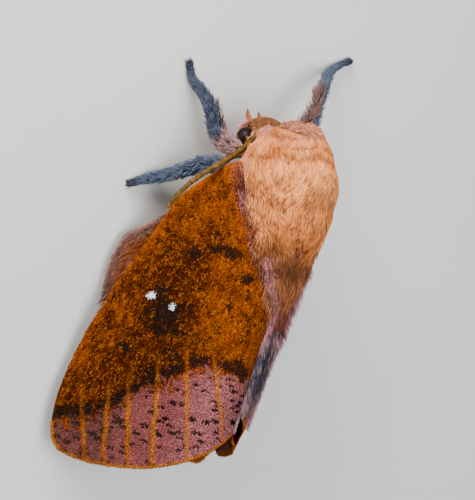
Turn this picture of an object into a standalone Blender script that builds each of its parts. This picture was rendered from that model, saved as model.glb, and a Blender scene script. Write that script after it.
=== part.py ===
"""Honey locust moth at rest, head toward -Y, wings folded like a roof over the body.

Every length below is in millimetres and every angle in degrees. MM turns a length into metres
where a mesh is made. +X is the moth's left and the floor is z = 0. The plans are drawn with
y = 0 near the middle of the thorax, and the root empty then carries the whole moth forward
so that the frame's origin lies under the middle of its bounding box.
"""
import math
import random

import bmesh
import bpy
from mathutils import Matrix, Vector

MM = 0.001
GAP = 0.3
SHORTEST_EDGE = 0.02
SEED = 7

MIDDLE_Y = 6.45

THORAX_CENTRE = (0.0, -0.6, 7.6)
THORAX_COAT = (5.3, 6.8, 5.3)
THORAX_UNDERSIDE = 3.6
COAT_DEPTH = 1.5
CORE_SHARE = 0.5
CORE_GRID = (28, 18)
HEAD_GRID = (24, 16)
EYE_GRID = (16, 12)
STEP = 0.05

# Rows of locks: degrees back from the front, locks in the row, degrees down to each side
LOCK_ROWS = ((22.0, 5, 66.0), (44.0, 6, 84.0), (67.0, 7, 92.0), (90.0, 8, 96.0),
             (112.0, 8, 94.0), (132.0, 6, 84.0))
LOCK_REACH = 36.0
LOCK_SWAY = 7.0
LOCK_LIFT = 0.25
LOCK_WIDTH = 2.6
LOCK_THICKNESS = 0.75
LOCK_JITTER = 3.0
# Sections of a lock: share of its length, level in the coat, share of width and thickness
LOCK_SECTIONS = ((0.0, -0.9, 0.8, 0.8), (0.3, 0.2, 1.0, 1.0), (0.6, 0.85, 0.9, 0.85),
                 (0.85, 1.0, 0.55, 0.6), (1.0, 0.95, 0.0, 0.0))

HEAD_CENTRE = (0.0, -5.0, 4.4)
HEAD_RADII = (2.4, 2.0, 2.1)
EYE_CENTRE = (1.95, -4.58, 3.9)
EYE_RADIUS = 0.9

ABDOMEN_START = (0.0, 3.8, 6.3)
ABDOMEN_LENGTH = 15.8
ABDOMEN_TILT = -4.0
ABDOMEN_SEGMENTS = 7
ABDOMEN_RADII = (3.0, 3.25, 3.2, 3.0, 2.75, 2.4, 1.9, 1.1)

WING_MEMBRANE = 0.5
VEIN_THICKNESS = 0.8
VEIN_WIDTH = 0.55
VEIN_SHARE = 0.022
HINDWING_DROP = 1.2
# The right hindwing's inner lobe rises behind the forewing's edge: slope of that edge in plan,
# clear way behind it, run of the rise and its height
LOBE_EDGE_SLOPE = 1.05
LOBE_CLEAR = 0.45
LOBE_RUN = 1.3
LOBE_RISE = 1.1
FOREWING_ROWS = 19
HINDWING_ROWS = 14
PLAIN_COLUMNS = 7

ROOF_HALF_GAP = 0.3
ROOF_RIDGE_FRONT = 11.6
ROOF_RIDGE_FALL = 0.045
ROOF_FRONT_Y = 7.0
VALLEY_ANGLE = -24.0
CREST_LENGTH = 3.2
SLOPE_FRONT = 52.0
SLOPE_REAR = 39.0
# The right pair is tucked in a little under the left towards the rear
TUCK_STEEPER = 8.0
TUCK_CREST = 1.0
TUCK_DROP = 1.0
SLOPE_FRONT_Y = 2.0
SLOPE_REAR_Y = 22.0
ROOF_SAG = 7.0 / 12.0
EDGE_HEIGHT_FRONT = 1.75
EDGE_HEIGHT_REAR = 0.65
EDGE_FRONT_Y = 12.0
EDGE_REAR_Y = 19.0
EDGE_SOFTNESS = 0.45

# Wing plans, as arc length out from the midline and place along the body
FOREWING_COSTA = ((5.0, -2.4), (7.9, -2.6), (10.0, -0.5), (11.7, 1.7), (12.5, 3.9), (13.7, 7.4),
                  (14.9, 10.4), (16.1, 13.8), (16.7, 18.0), (17.0, 21.5), (16.8, 24.0))
FOREWING_OUTER = ((16.8, 24.0), (16.0, 25.7), (14.6, 26.5), (11.3, 26.6), (6.9, 25.7),
                  (3.3, 23.8), (1.2, 22.0), (0.0, 21.0))
FOREWING_INNER = ((1.6, 3.2), (0.3, 6.4), (0.0, 10.0), (0.0, 18.0), (0.0, 21.0))
FOREWING_OUTER_RIGHT = ((16.8, 24.0), (16.2, 24.9), (14.6, 25.4), (11.3, 25.5), (6.9, 24.5), (3.3, 22.6),
                        (0.6, 19.7))
FOREWING_INNER_RIGHT = ((1.6, 3.2), (0.3, 6.4), (0.0, 10.0), (0.0, 16.5), (0.6, 19.7))
FOREWING_VEINS = ((0.0, 0.0), (0.075, 0.0), (0.19, 0.0), (0.32, 0.46), (0.44, 0.50),
                  (0.56, 0.46), (0.68, 0.0), (0.81, 0.36), (0.93, 0.0))

HINDWING_COSTA = ((5.2, 1.4), (9.4, 1.9), (12.1, 2.8), (13.8, 4.8), (15.3, 6.4), (15.7, 8.6),
                  (15.5, 11.5), (14.6, 14.6), (12.6, 19.0))
HINDWING_OUTER = ((12.6, 19.0), (10.6, 22.4), (7.4, 24.1), (4.4, 24.4), (2.6, 24.4),
                  (1.3, 23.5))
HINDWING_INNER = ((1.6, 4.8), (0.7, 7.7), (0.3, 12.0), (0.3, 20.5), (1.3, 23.5))
HINDWING_OUTER_RIGHT = ((12.6, 19.0), (10.6, 22.4), (7.4, 24.1), (4.4, 24.3), (2.2, 23.5),
                        (0.6, 22.1))
HINDWING_INNER_RIGHT = ((1.6, 4.8), (0.7, 7.7), (0.3, 12.0), (0.3, 19.0), (0.6, 22.1))
HINDWING_VEINS = ((0.16, 0.0), (0.34, 0.30), (0.52, 0.34), (0.70, 0.0), (0.86, 0.24))

ANTENNA_RADIUS = 0.3
ANTENNA_ROUTE = ((1.7, -4.9, 4.9), (2.7, -4.6, 5.5), (3.8, -3.7, 5.7), (5.4, -2.8, 6.1),
                 (7.1, -2.0, 6.5), (8.1, -0.9, 6.0), (9.0, 0.4, 5.4), (9.5, 1.6, 4.9),
                 (10.0, 2.9, 4.6))
PALP_ROUTE = ((0.75, -5.8, 3.0), (0.8, -6.3, 2.4), (0.75, -6.7, 2.1))
PALP_RADII = (0.5, 0.55, 0.3)

FOOT_HEIGHT = 0.3
FEMUR_RADIUS = 0.68
TIBIA_RADIUS = 0.62
TARSUS_RADIUS = 0.42
CLAW_RADIUS = 0.36
FEMUR_END = 0.36
TIBIA_END = 0.70

LEG_ROUTES = {
    "fore_left": ((2.0, -2.9, 5.3), (4.7, -3.9, 3.5), (6.4, -6.9, 2.3), (7.2, -8.3, 0.6),
                  (8.0, -9.9, FOOT_HEIGHT)),
    "fore_right": ((-2.0, -2.7, 5.3), (-4.0, -4.8, 4.1), (-5.6, -7.2, 4.2),
                   (-7.3, -10.1, 3.0), (-10.4, -12.1, 0.6), (-13.2, -13.5, FOOT_HEIGHT)),
    "mid_left": ((2.6, -0.9, 5.0), (4.7, -1.4, 3.2), (8.0, 0.6, 1.1), (9.2, 1.2, 0.5),
                 (11.3, 2.1, FOOT_HEIGHT)),
    "mid_right": ((-2.6, -0.9, 5.0), (-4.7, -1.3, 3.3), (-7.8, 0.8, 1.1), (-9.0, 1.3, 0.5),
                  (-10.9, 2.4, FOOT_HEIGHT)),
    "hind_left": ((2.4, 1.9, 5.0), (4.4, 4.3, 3.2), (5.7, 6.9, 1.2), (6.2, 7.9, 0.5),
                  (7.0, 10.0, FOOT_HEIGHT)),
    "hind_right": ((-2.4, 1.9, 5.0), (-4.3, 4.1, 3.2), (-5.8, 6.6, 1.2), (-6.4, 7.7, 0.5),
                   (-7.4, 9.7, FOOT_HEIGHT)),
}

PEACH_FUR = (0.80, 0.42, 0.24)
PINK_FUR = (0.78, 0.52, 0.46)
ORANGE_WING = (0.62, 0.22, 0.03)
ROSE_WING = (0.50, 0.17, 0.13)
SLATE_LEG = (0.20, 0.22, 0.27)
OLIVE_ANTENNA = (0.38, 0.26, 0.06)
ORANGE_BODY = (0.62, 0.28, 0.10)
BLACK_EYE = (0.01, 0.01, 0.012)


def clear_scene():
    for obj in list(bpy.data.objects):
        bpy.data.objects.remove(obj, do_unlink=True)


def make_collection(name):
    collection = bpy.data.collections.new(name)
    bpy.context.scene.collection.children.link(collection)
    return collection


def make_material(name, colour, roughness):
    material = bpy.data.materials.new(name)
    material.use_nodes = True
    shader = material.node_tree.nodes["Principled BSDF"]
    shader.inputs["Base Color"].default_value = (*colour, 1.0)
    shader.inputs["Roughness"].default_value = roughness
    shader.inputs["Metallic"].default_value = 0.0
    return material


def smooth_step(x):
    x = min(1.0, max(0.0, x))
    return x * x * (3.0 - 2.0 * x)


def curve_through(points, t):
    """Point at share t of the length of a smooth curve through all the points."""
    pts = [Vector(p) for p in points]
    reach = [0.0]
    for a, b in zip(pts, pts[1:]):
        reach.append(reach[-1] + (b - a).length)
    target = t * reach[-1]
    i = 0
    while i < len(pts) - 2 and reach[i + 1] < target:
        i += 1
    u = (target - reach[i]) / (reach[i + 1] - reach[i])
    before = pts[i - 1] if i > 0 else pts[0] * 2 - pts[1]
    after = pts[i + 2] if i + 2 < len(pts) else pts[-1] * 2 - pts[-2]
    a, b = pts[i], pts[i + 1]
    return 0.5 * (2 * a + (b - before) * u + (2 * before - 5 * a + 4 * b - after) * u * u
                  + (3 * a - before - 3 * b + after) * u ** 3)


def new_object(name, mesh, collection, material=None, at=(0.0, 0.0, 0.0)):
    """Object at a place given in mm, carried by the root empty."""
    obj = bpy.data.objects.new(name, mesh)
    collection.objects.link(obj)
    obj.parent = ROOT
    obj.location = Vector(at) * MM
    if material:
        mesh.materials.append(material)
    if collection == CUTTERS:
        obj.hide_render = True
        obj.display_type = "WIRE"
    else:
        mesh.shade_smooth()
    return obj


def mesh_from(bm, name):
    mesh = bpy.data.meshes.new(name)
    bm.to_mesh(mesh)
    bm.free()
    return mesh


def ball(name, radii, grid, lower=None):
    """Ellipsoid mesh about its own centre, its lower half flatter where lower is given."""
    bm = bmesh.new()
    bmesh.ops.create_uvsphere(bm, u_segments=grid[0], v_segments=grid[1], radius=1.0)
    # the sphere's poles are turned to the front and the back
    bmesh.ops.rotate(bm, verts=bm.verts, matrix=Matrix.Rotation(math.radians(90.0), 3, "X"))
    for v in bm.verts:
        height = lower if lower and v.co.z < 0.0 else radii[2]
        v.co = Vector((v.co.x * radii[0], v.co.y * radii[1], v.co.z * height)) * MM
    return mesh_from(bm, name)


def keep_largest(bm):
    """Keep only the closed surface with the largest box."""
    groups = []
    left = set(bm.verts)
    while left:
        seed = left.pop()
        group = {seed}
        stack = [seed]
        while stack:
            for edge in stack.pop().link_edges:
                for v in edge.verts:
                    if v not in group:
                        group.add(v)
                        stack.append(v)
        left -= group
        groups.append(group)

    def spread(group):
        lows = [min(v.co[i] for v in group) for i in range(3)]
        highs = [max(v.co[i] for v in group) for i in range(3)]
        return sum(h - low for h, low in zip(highs, lows))

    best = max(groups, key=spread)
    bmesh.ops.delete(bm, geom=[v for v in bm.verts if v not in best], context="VERTS")


def collapse_short_edges(bm):
    """Merge the ends of very short edges wherever the surface stays closed."""
    short = [edge for edge in bm.edges if edge.calc_length() < SHORTEST_EDGE * MM]
    while short:
        edge = short.pop()
        if not edge.is_valid:
            continue
        a, b = edge.verts
        shared = {e.other_vert(a) for e in a.link_edges} & {e.other_vert(b) for e in b.link_edges}
        if len(shared) == 2:
            middle = (a.co + b.co) / 2
            bmesh.ops.pointmerge(bm, verts=[a, b], merge_co=middle)


def boolean(obj, other, operation="DIFFERENCE", solver="EXACT"):
    """Add a Boolean with an object, or with a whole collection of objects."""
    modifier = obj.modifiers.new(operation.title(), "BOOLEAN")
    modifier.operation = operation
    modifier.solver = solver
    if isinstance(other, bpy.types.Collection):
        modifier.operand_type = "COLLECTION"
        modifier.collection = other
    else:
        modifier.object = other
    return modifier


def apply_modifiers(obj):
    """Replace the object's mesh by its evaluated one and keep the main surface."""
    bpy.context.view_layer.update()
    evaluated = obj.evaluated_get(bpy.context.evaluated_depsgraph_get())
    mesh = bpy.data.meshes.new_from_object(evaluated)
    obj.modifiers.clear()
    bm = bmesh.new()
    bm.from_mesh(mesh)
    bmesh.ops.triangulate(bm, faces=bm.faces)
    keep_largest(bm)
    collapse_short_edges(bm)
    bm.to_mesh(mesh)
    bm.free()
    mesh.shade_smooth()
    obj.data = mesh


def tube(name, route, radii, collection, material=None, start=0.0, end=1.0, steps=6):
    """Round tube along a smooth route, from share start to share end of its length."""
    curve = bpy.data.curves.new(name, "CURVE")
    curve.dimensions = "3D"
    curve.bevel_depth = MM
    curve.bevel_resolution = 2
    curve.use_fill_caps = True
    spline = curve.splines.new("POLY")
    spline.points.add(steps)
    for i, point in enumerate(spline.points):
        share = i / steps
        place = curve_through(route, start + (end - start) * share)
        point.co = (*(place * MM), 1.0)
        slot = share * (len(radii) - 1)
        low = min(int(slot), len(radii) - 2)
        point.radius = radii[low] + (radii[low + 1] - radii[low]) * (slot - low)
    drawn = bpy.data.objects.new(name + "_curve", curve)
    collection.objects.link(drawn)
    bpy.context.view_layer.update()
    evaluated = drawn.evaluated_get(bpy.context.evaluated_depsgraph_get())
    mesh = bpy.data.meshes.new_from_object(evaluated)
    mesh.transform(drawn.matrix_world)
    bpy.data.objects.remove(drawn, do_unlink=True)
    bm = bmesh.new()
    bm.from_mesh(mesh)
    bmesh.ops.remove_doubles(bm, verts=bm.verts, dist=0.001 * MM)
    bmesh.ops.recalc_face_normals(bm, faces=bm.faces)
    bm.to_mesh(mesh)
    bm.free()
    mesh.materials.clear()
    return new_object(name, mesh, collection, material)


def core_radii(margin=0.0):
    """Radii of the thorax core, that of its flatter underside last."""
    depth = COAT_DEPTH * (1.0 - CORE_SHARE)
    return [r - depth + margin for r in (*THORAX_COAT, THORAX_UNDERSIDE)]


def thorax_point(polar, around, level):
    """Point level mm above the core, polar degrees from the front, around from the top."""
    side, length, height, under = core_radii(level)
    a = math.radians(polar)
    b = math.radians(around)
    z = math.sin(a) * math.cos(b)
    return Vector(THORAX_CENTRE) + Vector((math.sin(a) * math.sin(b) * side,
                                           -math.cos(a) * length,
                                           z * (height if z > 0.0 else under)))


def lock(polar, around, draw):
    """One flat, tapered lock: its root is sunk in the core and its tip lies back on the coat."""
    reach = LOCK_REACH * draw.uniform(0.85, 1.15)
    sway = draw.uniform(-LOCK_SWAY, LOCK_SWAY)
    width = LOCK_WIDTH * draw.uniform(0.85, 1.15)
    lift = draw.uniform(0.0, LOCK_LIFT)
    bm = bmesh.new()
    rings = []
    for share, level, wide, thick in LOCK_SECTIONS:
        place = (polar + reach * share, around + sway * share * share)
        height = level * COAT_DEPTH * (1.0 - CORE_SHARE) + lift * share
        centre = thorax_point(*place, height)
        up = (thorax_point(*place, height + STEP) - centre).normalized()
        along = (thorax_point(place[0] + STEP, place[1], height) - centre).normalized()
        across = along.cross(up).normalized() * width * wide / 2
        up *= LOCK_THICKNESS * thick / 2
        if wide == 0.0:
            rings.append([bm.verts.new(centre * MM)])
        else:
            corners = (centre + across, centre + up, centre - across, centre - up)
            rings.append([bm.verts.new(corner * MM) for corner in corners])
    bm.faces.new(rings[0])
    for a, b in zip(rings, rings[1:]):
        for i in range(4):
            j = (i + 1) % 4
            if len(b) == 1:
                bm.faces.new((a[i], a[j], b[0]))
            else:
                bm.faces.new((a[i], a[j], b[j], b[i]))
    bmesh.ops.recalc_face_normals(bm, faces=bm.faces)
    bmesh.ops.triangulate(bm, faces=bm.faces)
    return new_object("lock", mesh_from(bm, "lock"), LOCKS)


def core_cutter(name, margin):
    radii = core_radii(margin)
    return new_object(name, ball(name, radii[:3], CORE_GRID, radii[3]), CUTTERS,
                      at=THORAX_CENTRE)


def grown(piece, core):
    """Cutter in the shape of a piece, swollen by the gap and kept off the core."""
    copy = new_object(piece.name + "_cutter", piece.data.copy(), CUTTERS)
    copy.location = piece.location
    copy.rotation_euler = piece.rotation_euler
    swell = copy.modifiers.new("Swell", "DISPLACE")
    swell.strength = GAP * MM
    swell.mid_level = 0.0
    boolean(copy, core, "DIFFERENCE", "MANIFOLD")
    apply_modifiers(copy)
    return copy


def plain_wings():
    """Copies of the four wings with few columns, as thick all over as the veins."""
    extra = VEIN_THICKNESS - WING_MEMBRANE
    made = []
    for _, side, fore, hind in WING_PAIRS:
        made.append(wing("plain_forewing", fore, (), FOREWING_ROWS, 0.0, side, CUTTERS,
                         extra=extra))
        made.append(wing("plain_hindwing", hind, (), HINDWING_ROWS, HINDWING_DROP, side,
                         CUTTERS, extra=extra))
    for obj in made:
        apply_modifiers(obj)
    return made


def thorax(neighbours):
    """Core with overlapping locks that run back from the collar, cut clear of its neighbours."""
    core = core_radii()
    mesh = ball("thorax", core[:3], CORE_GRID, core[3])
    obj = new_object("thorax", mesh, MOTH, FUR, THORAX_CENTRE)
    draw = random.Random(SEED)
    for polar, count, spread in LOCK_ROWS:
        for i in range(count):
            around = spread * (2.0 * i / (count - 1) - 1.0)
            around += draw.uniform(-LOCK_JITTER, LOCK_JITTER)
            back = polar + draw.uniform(-LOCK_JITTER, LOCK_JITTER)
            made = lock(back, around, draw)
            boolean(obj, made, "UNION", "MANIFOLD")
    near = core_cutter("near_core_cutter", GAP / 3)
    for piece in neighbours:
        boolean(obj, grown(piece, near), "DIFFERENCE", "MANIFOLD")
    apply_modifiers(obj)
    for made in list(LOCKS.objects):
        bpy.data.objects.remove(made, do_unlink=True)
    bpy.data.collections.remove(LOCKS)


def head(body_cutter):
    obj = new_object("head", ball("head", HEAD_RADII, HEAD_GRID), MOTH, FACE, HEAD_CENTRE)
    boolean(obj, body_cutter)
    for side in (1, -1):
        socket = ball("socket", [EYE_RADIUS + GAP] * 3, EYE_GRID)
        place = (EYE_CENTRE[0] * side, *EYE_CENTRE[1:])
        boolean(obj, new_object("eye_socket", socket, CUTTERS, at=place))
    apply_modifiers(obj)
    return obj


def head_cutter():
    mesh = ball("head_cutter", [r + GAP for r in HEAD_RADII], HEAD_GRID)
    return new_object("head_cutter", mesh, CUTTERS, at=HEAD_CENTRE)


def eyes(body_cutter):
    for name, side in (("eye_left", 1), ("eye_right", -1)):
        place = (EYE_CENTRE[0] * side, *EYE_CENTRE[1:])
        obj = new_object(name, ball(name, [EYE_RADIUS] * 3, EYE_GRID), MOTH, EYE, place)
        boolean(obj, body_cutter)
        apply_modifiers(obj)


def mirrored(route, side):
    return [(p[0] * side, p[1], p[2]) for p in route]


def antennae(cutters):
    radii = (0.9, 1.1, 1.1, 1.0, 0.9, 0.8)
    for name, side in (("antenna_left", 1), ("antenna_right", -1)):
        route = mirrored(ANTENNA_ROUTE, side)
        widths = [r * ANTENNA_RADIUS for r in radii]
        obj = tube(name, route, widths, MOTH, ANTENNA, steps=14)
        for cutter in cutters:
            boolean(obj, cutter)
        apply_modifiers(obj)


def palps(cutter):
    for name, side in (("palp_left", 1), ("palp_right", -1)):
        obj = tube(name, mirrored(PALP_ROUTE, side), PALP_RADII, MOTH, FACE, steps=5)
        boolean(obj, cutter)
        apply_modifiers(obj)


def abdomen(body_cutter):
    """Turned body of ringed segments, wide in front and round at the tail."""
    profile = [(0.0, 0.0)]
    length = ABDOMEN_LENGTH / ABDOMEN_SEGMENTS
    for i in range(ABDOMEN_SEGMENTS):
        front = ABDOMEN_RADII[i]
        back = ABDOMEN_RADII[i + 1]
        profile.append((front * 0.97, i * length))
        profile.append(((front + back) / 2 * 1.02, (i + 0.55) * length))
    profile.append((ABDOMEN_RADII[-1] * 0.9, ABDOMEN_LENGTH - 0.4))
    profile.append((0.0, ABDOMEN_LENGTH))
    mesh = bpy.data.meshes.new("abdomen")
    # the profile runs from the tail, at the top of the Screw's axis, down to the front
    verts = [(r * MM, 0.0, z * MM) for r, z in reversed(profile)]
    mesh.from_pydata(verts, [(i, i + 1) for i in range(len(verts) - 1)], [])
    obj = new_object("abdomen", mesh, MOTH, BODY, ABDOMEN_START)
    obj.rotation_euler = (math.radians(-90.0 + ABDOMEN_TILT), 0.0, 0.0)
    screw = obj.modifiers.new("Turn", "SCREW")
    screw.axis = "Z"
    screw.steps = 18
    screw.render_steps = 18
    screw.use_merge_vertices = True
    screw.merge_threshold = 0.00001
    boolean(obj, body_cutter)
    apply_modifiers(obj)


def roof_point(across, along, tuck=0.0):
    """Point of the folded wings' surface, across mm out along it from the midline."""
    valley = math.radians(VALLEY_ANGLE)
    share = (along - SLOPE_FRONT_Y) / (SLOPE_REAR_Y - SLOPE_FRONT_Y)
    share = min(1.0, max(0.0, share))
    slope = math.radians(SLOPE_FRONT + (SLOPE_REAR + tuck * TUCK_STEEPER - SLOPE_FRONT) * share)
    crest = CREST_LENGTH - tuck * TUCK_CREST * share
    bend = (slope - valley) / crest
    sag = math.radians(ROOF_SAG)
    near = valley + bend * min(across, crest)
    far = slope + sag * max(0.0, across - crest)
    x = ROOF_HALF_GAP + (math.sin(near) - math.sin(valley)) / bend
    x += (math.sin(far) - math.sin(slope)) / sag
    z = ROOF_RIDGE_FRONT - ROOF_RIDGE_FALL * (along - ROOF_FRONT_Y) - tuck * TUCK_DROP * share
    z += (math.cos(near) - 1.0) / bend + (math.cos(far) - math.cos(slope)) / sag
    # the surface levels off softly above the floor instead of running into it
    rear = smooth_step((along - EDGE_FRONT_Y) / (EDGE_REAR_Y - EDGE_FRONT_Y))
    edge = EDGE_HEIGHT_FRONT + (EDGE_HEIGHT_REAR - EDGE_HEIGHT_FRONT) * rear
    z = edge + EDGE_SOFTNESS * math.log(1.0 + math.exp((z - edge) / EDGE_SOFTNESS))
    return Vector((x, along, z))


def wing_point(across, along, drop, side):
    """Point drop mm under the roof surface, measured square to it."""
    tuck = 1.0 if side < 0 else 0.0
    point = roof_point(across, along, tuck)
    if drop:
        out = roof_point(across + STEP, along, tuck) - roof_point(across - STEP, along, tuck)
        back = roof_point(across, along + STEP, tuck) - roof_point(across, along - STEP, tuck)
        point -= out.cross(back).normalized() * drop
    return Vector((point.x * side, point.y, point.z))


def plan_point(costa, outer, inner, s, v):
    """Point of a wing plan, s from root to outer margin and v from costa to inner margin."""
    root_a = Vector(costa[0])
    root_b = Vector(inner[0])
    apex = Vector(outer[0])
    tornus = Vector(outer[-1])
    root = root_a.lerp(root_b, v)
    corners = (root_a * (1 - s) + apex * s) * (1 - v) + (root_b * (1 - s) + tornus * s) * v
    sides = curve_through(costa, s) * (1 - v) + curve_through(inner, s) * v
    return sides + root * (1 - s) + curve_through(outer, v) * s - corners


def wing_columns(veins, chord):
    """Places across the chord of each grid column, with the vein each one belongs to."""
    if not veins:
        return [(i / PLAIN_COLUMNS, None) for i in range(PLAIN_COLUMNS + 1)]
    half = min(VEIN_WIDTH / 2 / chord, VEIN_SHARE)
    columns = []
    edge = 0.0
    for index, (place, _) in enumerate(veins):
        if index == 0 and place > 0.0:
            columns.append((0.0, None))
        if place > 0.0:
            columns.append(((edge + place - half) / 2, None))
            columns.append((place - half, None))
        columns.append((place, index))
        columns.append((place + half, None))
        edge = place + half
    columns.append(((edge + 1.0) / 2, None))
    columns.append((1.0, None))
    return columns


def wing(name, plan, veins, rows, drop, side, collection, material=None, extra=0.0):
    """One folded wing: a curved sheet with its main veins thicker than the membrane."""
    costa, outer, inner = plan
    bm = bmesh.new()
    grid = []
    crests = []
    for row in range(rows + 1):
        s = row / rows
        edge_a = Vector(curve_through(costa, s))
        edge_b = Vector(curve_through(inner, s))
        line = []
        for v, vein in wing_columns(veins, (edge_b - edge_a).length):
            across, along = plan_point(costa, outer, inner, s, v)
            depth = drop - lobe_rise(across, along, drop, side)
            vert = bm.verts.new(wing_point(across, along, depth, side) * MM)
            line.append(vert)
            if vein is not None and s >= veins[vein][1]:
                crests.append(vert)
        grid.append(line)
    for a, b in zip(grid, grid[1:]):
        for i in range(len(a) - 1):
            quad = (a[i], a[i + 1], b[i + 1], b[i])
            bm.faces.new(quad if side < 0 else reversed(quad))
    bmesh.ops.triangulate(bm, faces=bm.faces)
    bm.verts.index_update()
    raised = [v.index for v in crests]
    mesh = mesh_from(bm, name)
    obj = new_object(name, mesh, collection, material)
    group = obj.vertex_groups.new(name="veins")
    group.add(raised, 1.0, "REPLACE")
    shell = obj.modifiers.new("Thickness", "SOLIDIFY")
    shell.thickness = (VEIN_THICKNESS + extra) * MM
    shell.offset = 0.0
    shell.vertex_group = "veins"
    shell.thickness_vertex_group = (WING_MEMBRANE + extra) / (VEIN_THICKNESS + extra)
    return obj


def lobe_rise(across, along, drop, side):
    """How far a point of the right hindwing's lobe rises behind the forewing over it."""
    if not drop or side > 0:
        return 0.0
    corner = FOREWING_INNER_RIGHT[-1]
    beyond = along - corner[1] - LOBE_EDGE_SLOPE * (across - corner[0])
    beyond /= math.hypot(1.0, LOBE_EDGE_SLOPE)
    return LOBE_RISE * smooth_step((beyond - LOBE_CLEAR) / LOBE_RUN)


WING_PAIRS = (
    ("left", 1, (FOREWING_COSTA, FOREWING_OUTER, FOREWING_INNER),
     (HINDWING_COSTA, HINDWING_OUTER, HINDWING_INNER)),
    ("right", -1, (FOREWING_COSTA, FOREWING_OUTER_RIGHT, FOREWING_INNER_RIGHT),
     (HINDWING_COSTA, HINDWING_OUTER_RIGHT, HINDWING_INNER_RIGHT)))


def wings(body_cutter):
    for word, side, fore_plan, hind_plan in WING_PAIRS:
        fore = wing("forewing_" + word, fore_plan, FOREWING_VEINS, FOREWING_ROWS, 0.0, side,
                    MOTH, WING)
        hind = wing("hindwing_" + word, hind_plan, HINDWING_VEINS, HINDWING_ROWS,
                    HINDWING_DROP, side, MOTH, UNDERWING)
        for obj in (fore, hind):
            boolean(obj, body_cutter)
            apply_modifiers(obj)


def legs(body_cutter):
    """Each leg is one smooth route, parted by thin gaps into femur, tibia and tarsus."""
    for leg, route in LEG_ROUTES.items():
        length = sum((Vector(b) - Vector(a)).length for a, b in zip(route, route[1:]))
        gap = GAP / length
        stretches = (("femur", 0.0, FEMUR_END, (FEMUR_RADIUS, FEMUR_RADIUS, TIBIA_RADIUS)),
                     ("tibia", FEMUR_END + gap, TIBIA_END, (TIBIA_RADIUS, TIBIA_RADIUS,
                                                            TARSUS_RADIUS)),
                     ("tarsus", TIBIA_END + gap, 1.0, (TARSUS_RADIUS, TARSUS_RADIUS,
                                                       CLAW_RADIUS)))
        for part, start, end, radii in stretches:
            obj = tube(part + "_" + leg, route, radii, MOTH, LEG, start, end, steps=5)
            boolean(obj, body_cutter if part == "femur" else FLOOR)
            apply_modifiers(obj)


def floor_cutter():
    """Block whose top is the level that the feet rest on."""
    mesh = bpy.data.meshes.new("floor_cutter")
    bm = bmesh.new()
    bmesh.ops.create_cube(bm, size=60.0 * MM)
    bm.to_mesh(mesh)
    bm.free()
    return new_object("floor_cutter", mesh, CUTTERS, at=(0.0, 0.0, -30.0))


clear_scene()
MOTH = make_collection("honey_locust_moth")
CUTTERS = make_collection("cutters")
LOCKS = make_collection("locks")
ROOT = bpy.data.objects.new("moth", None)
MOTH.objects.link(ROOT)
ROOT.location = (0.0, -MIDDLE_Y * MM, 0.0)

FUR = make_material("peach_fur", PEACH_FUR, 0.9)
FACE = make_material("pink_fur", PINK_FUR, 0.9)
WING = make_material("orange_scales", ORANGE_WING, 0.75)
UNDERWING = make_material("rose_scales", ROSE_WING, 0.8)
LEG = make_material("slate_hair", SLATE_LEG, 0.85)
ANTENNA = make_material("olive_antenna", OLIVE_ANTENNA, 0.6)
BODY = make_material("orange_hair", ORANGE_BODY, 0.9)
EYE = make_material("eye", BLACK_EYE, 0.12)

FLOOR = floor_cutter()
CORE_CUTTER = core_cutter("core_cutter", GAP)
HEAD_CUTTER = head_cutter()
head(CORE_CUTTER)
eyes(CORE_CUTTER)
antennae((HEAD_CUTTER, CORE_CUTTER))
palps(HEAD_CUTTER)
abdomen(CORE_CUTTER)
wings(CORE_CUTTER)
legs(CORE_CUTTER)
BESIDE_THE_THORAX = ("head", "eye", "antenna", "femur", "abdomen")
thorax(plain_wings() + [obj for obj in MOTH.objects if obj.name.startswith(BESIDE_THE_THORAX)])
bpy.context.view_layer.update()
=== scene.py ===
"""Looks of the honey locust moth at rest, head toward -Y, wings folded like a roof.

Lengths are in millimetres and angles in degrees, and put() turns points into metres in the CAD's
frame. A place on a wing is (w, y): w is the arc length out from the midline over the folded roof
and y the place along the body, measured as in the CAD from near the middle of the thorax.
"""

import math

import bpy
import numpy as np
from mathutils import Matrix, Vector
from mathutils.kdtree import KDTree


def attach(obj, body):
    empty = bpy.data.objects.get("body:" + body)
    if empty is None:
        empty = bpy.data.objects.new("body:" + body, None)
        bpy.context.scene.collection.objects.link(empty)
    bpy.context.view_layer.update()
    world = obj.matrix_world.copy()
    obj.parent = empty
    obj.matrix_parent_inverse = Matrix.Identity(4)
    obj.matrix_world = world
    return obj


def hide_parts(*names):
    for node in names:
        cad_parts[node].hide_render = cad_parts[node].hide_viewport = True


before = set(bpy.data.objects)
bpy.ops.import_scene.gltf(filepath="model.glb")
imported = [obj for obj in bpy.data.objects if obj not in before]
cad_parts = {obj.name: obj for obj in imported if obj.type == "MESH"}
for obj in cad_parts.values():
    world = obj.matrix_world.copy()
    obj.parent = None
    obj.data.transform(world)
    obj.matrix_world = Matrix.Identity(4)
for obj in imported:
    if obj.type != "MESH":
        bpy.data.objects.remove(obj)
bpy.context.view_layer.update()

MM = 0.001
MIDDLE_Y = 6.45
# Width on the map of the patch that each strand or scale takes
PATCH = 0.003
# Segments along each strand
SEGMENTS = 3
# Lowest height of hair over the floor, on wings and on legs
WING_HAIR_FLOOR = 0.02
LEG_HAIR_FLOOR = 0.03

THORAX_CENTRE = np.array((0.0, -0.6, 7.6))
CORE_RADII = (4.55, 6.05, 4.55, 2.85)
HEAD_CENTRE = np.array((0.0, -5.0, 4.4))
HEAD_RADII = np.array((2.4, 2.0, 2.1))
EYE_CENTRE = np.array((1.95, -4.58, 3.9))
EYE_RADIUS = 0.9
ABDOMEN_START = np.array((0.0, 3.8, 6.3))
ABDOMEN_LENGTH = 15.8
ABDOMEN_TILT = -4.0
ABDOMEN_RADII = (3.0, 3.25, 3.2, 3.0, 2.75, 2.4, 1.9, 1.1)

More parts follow.
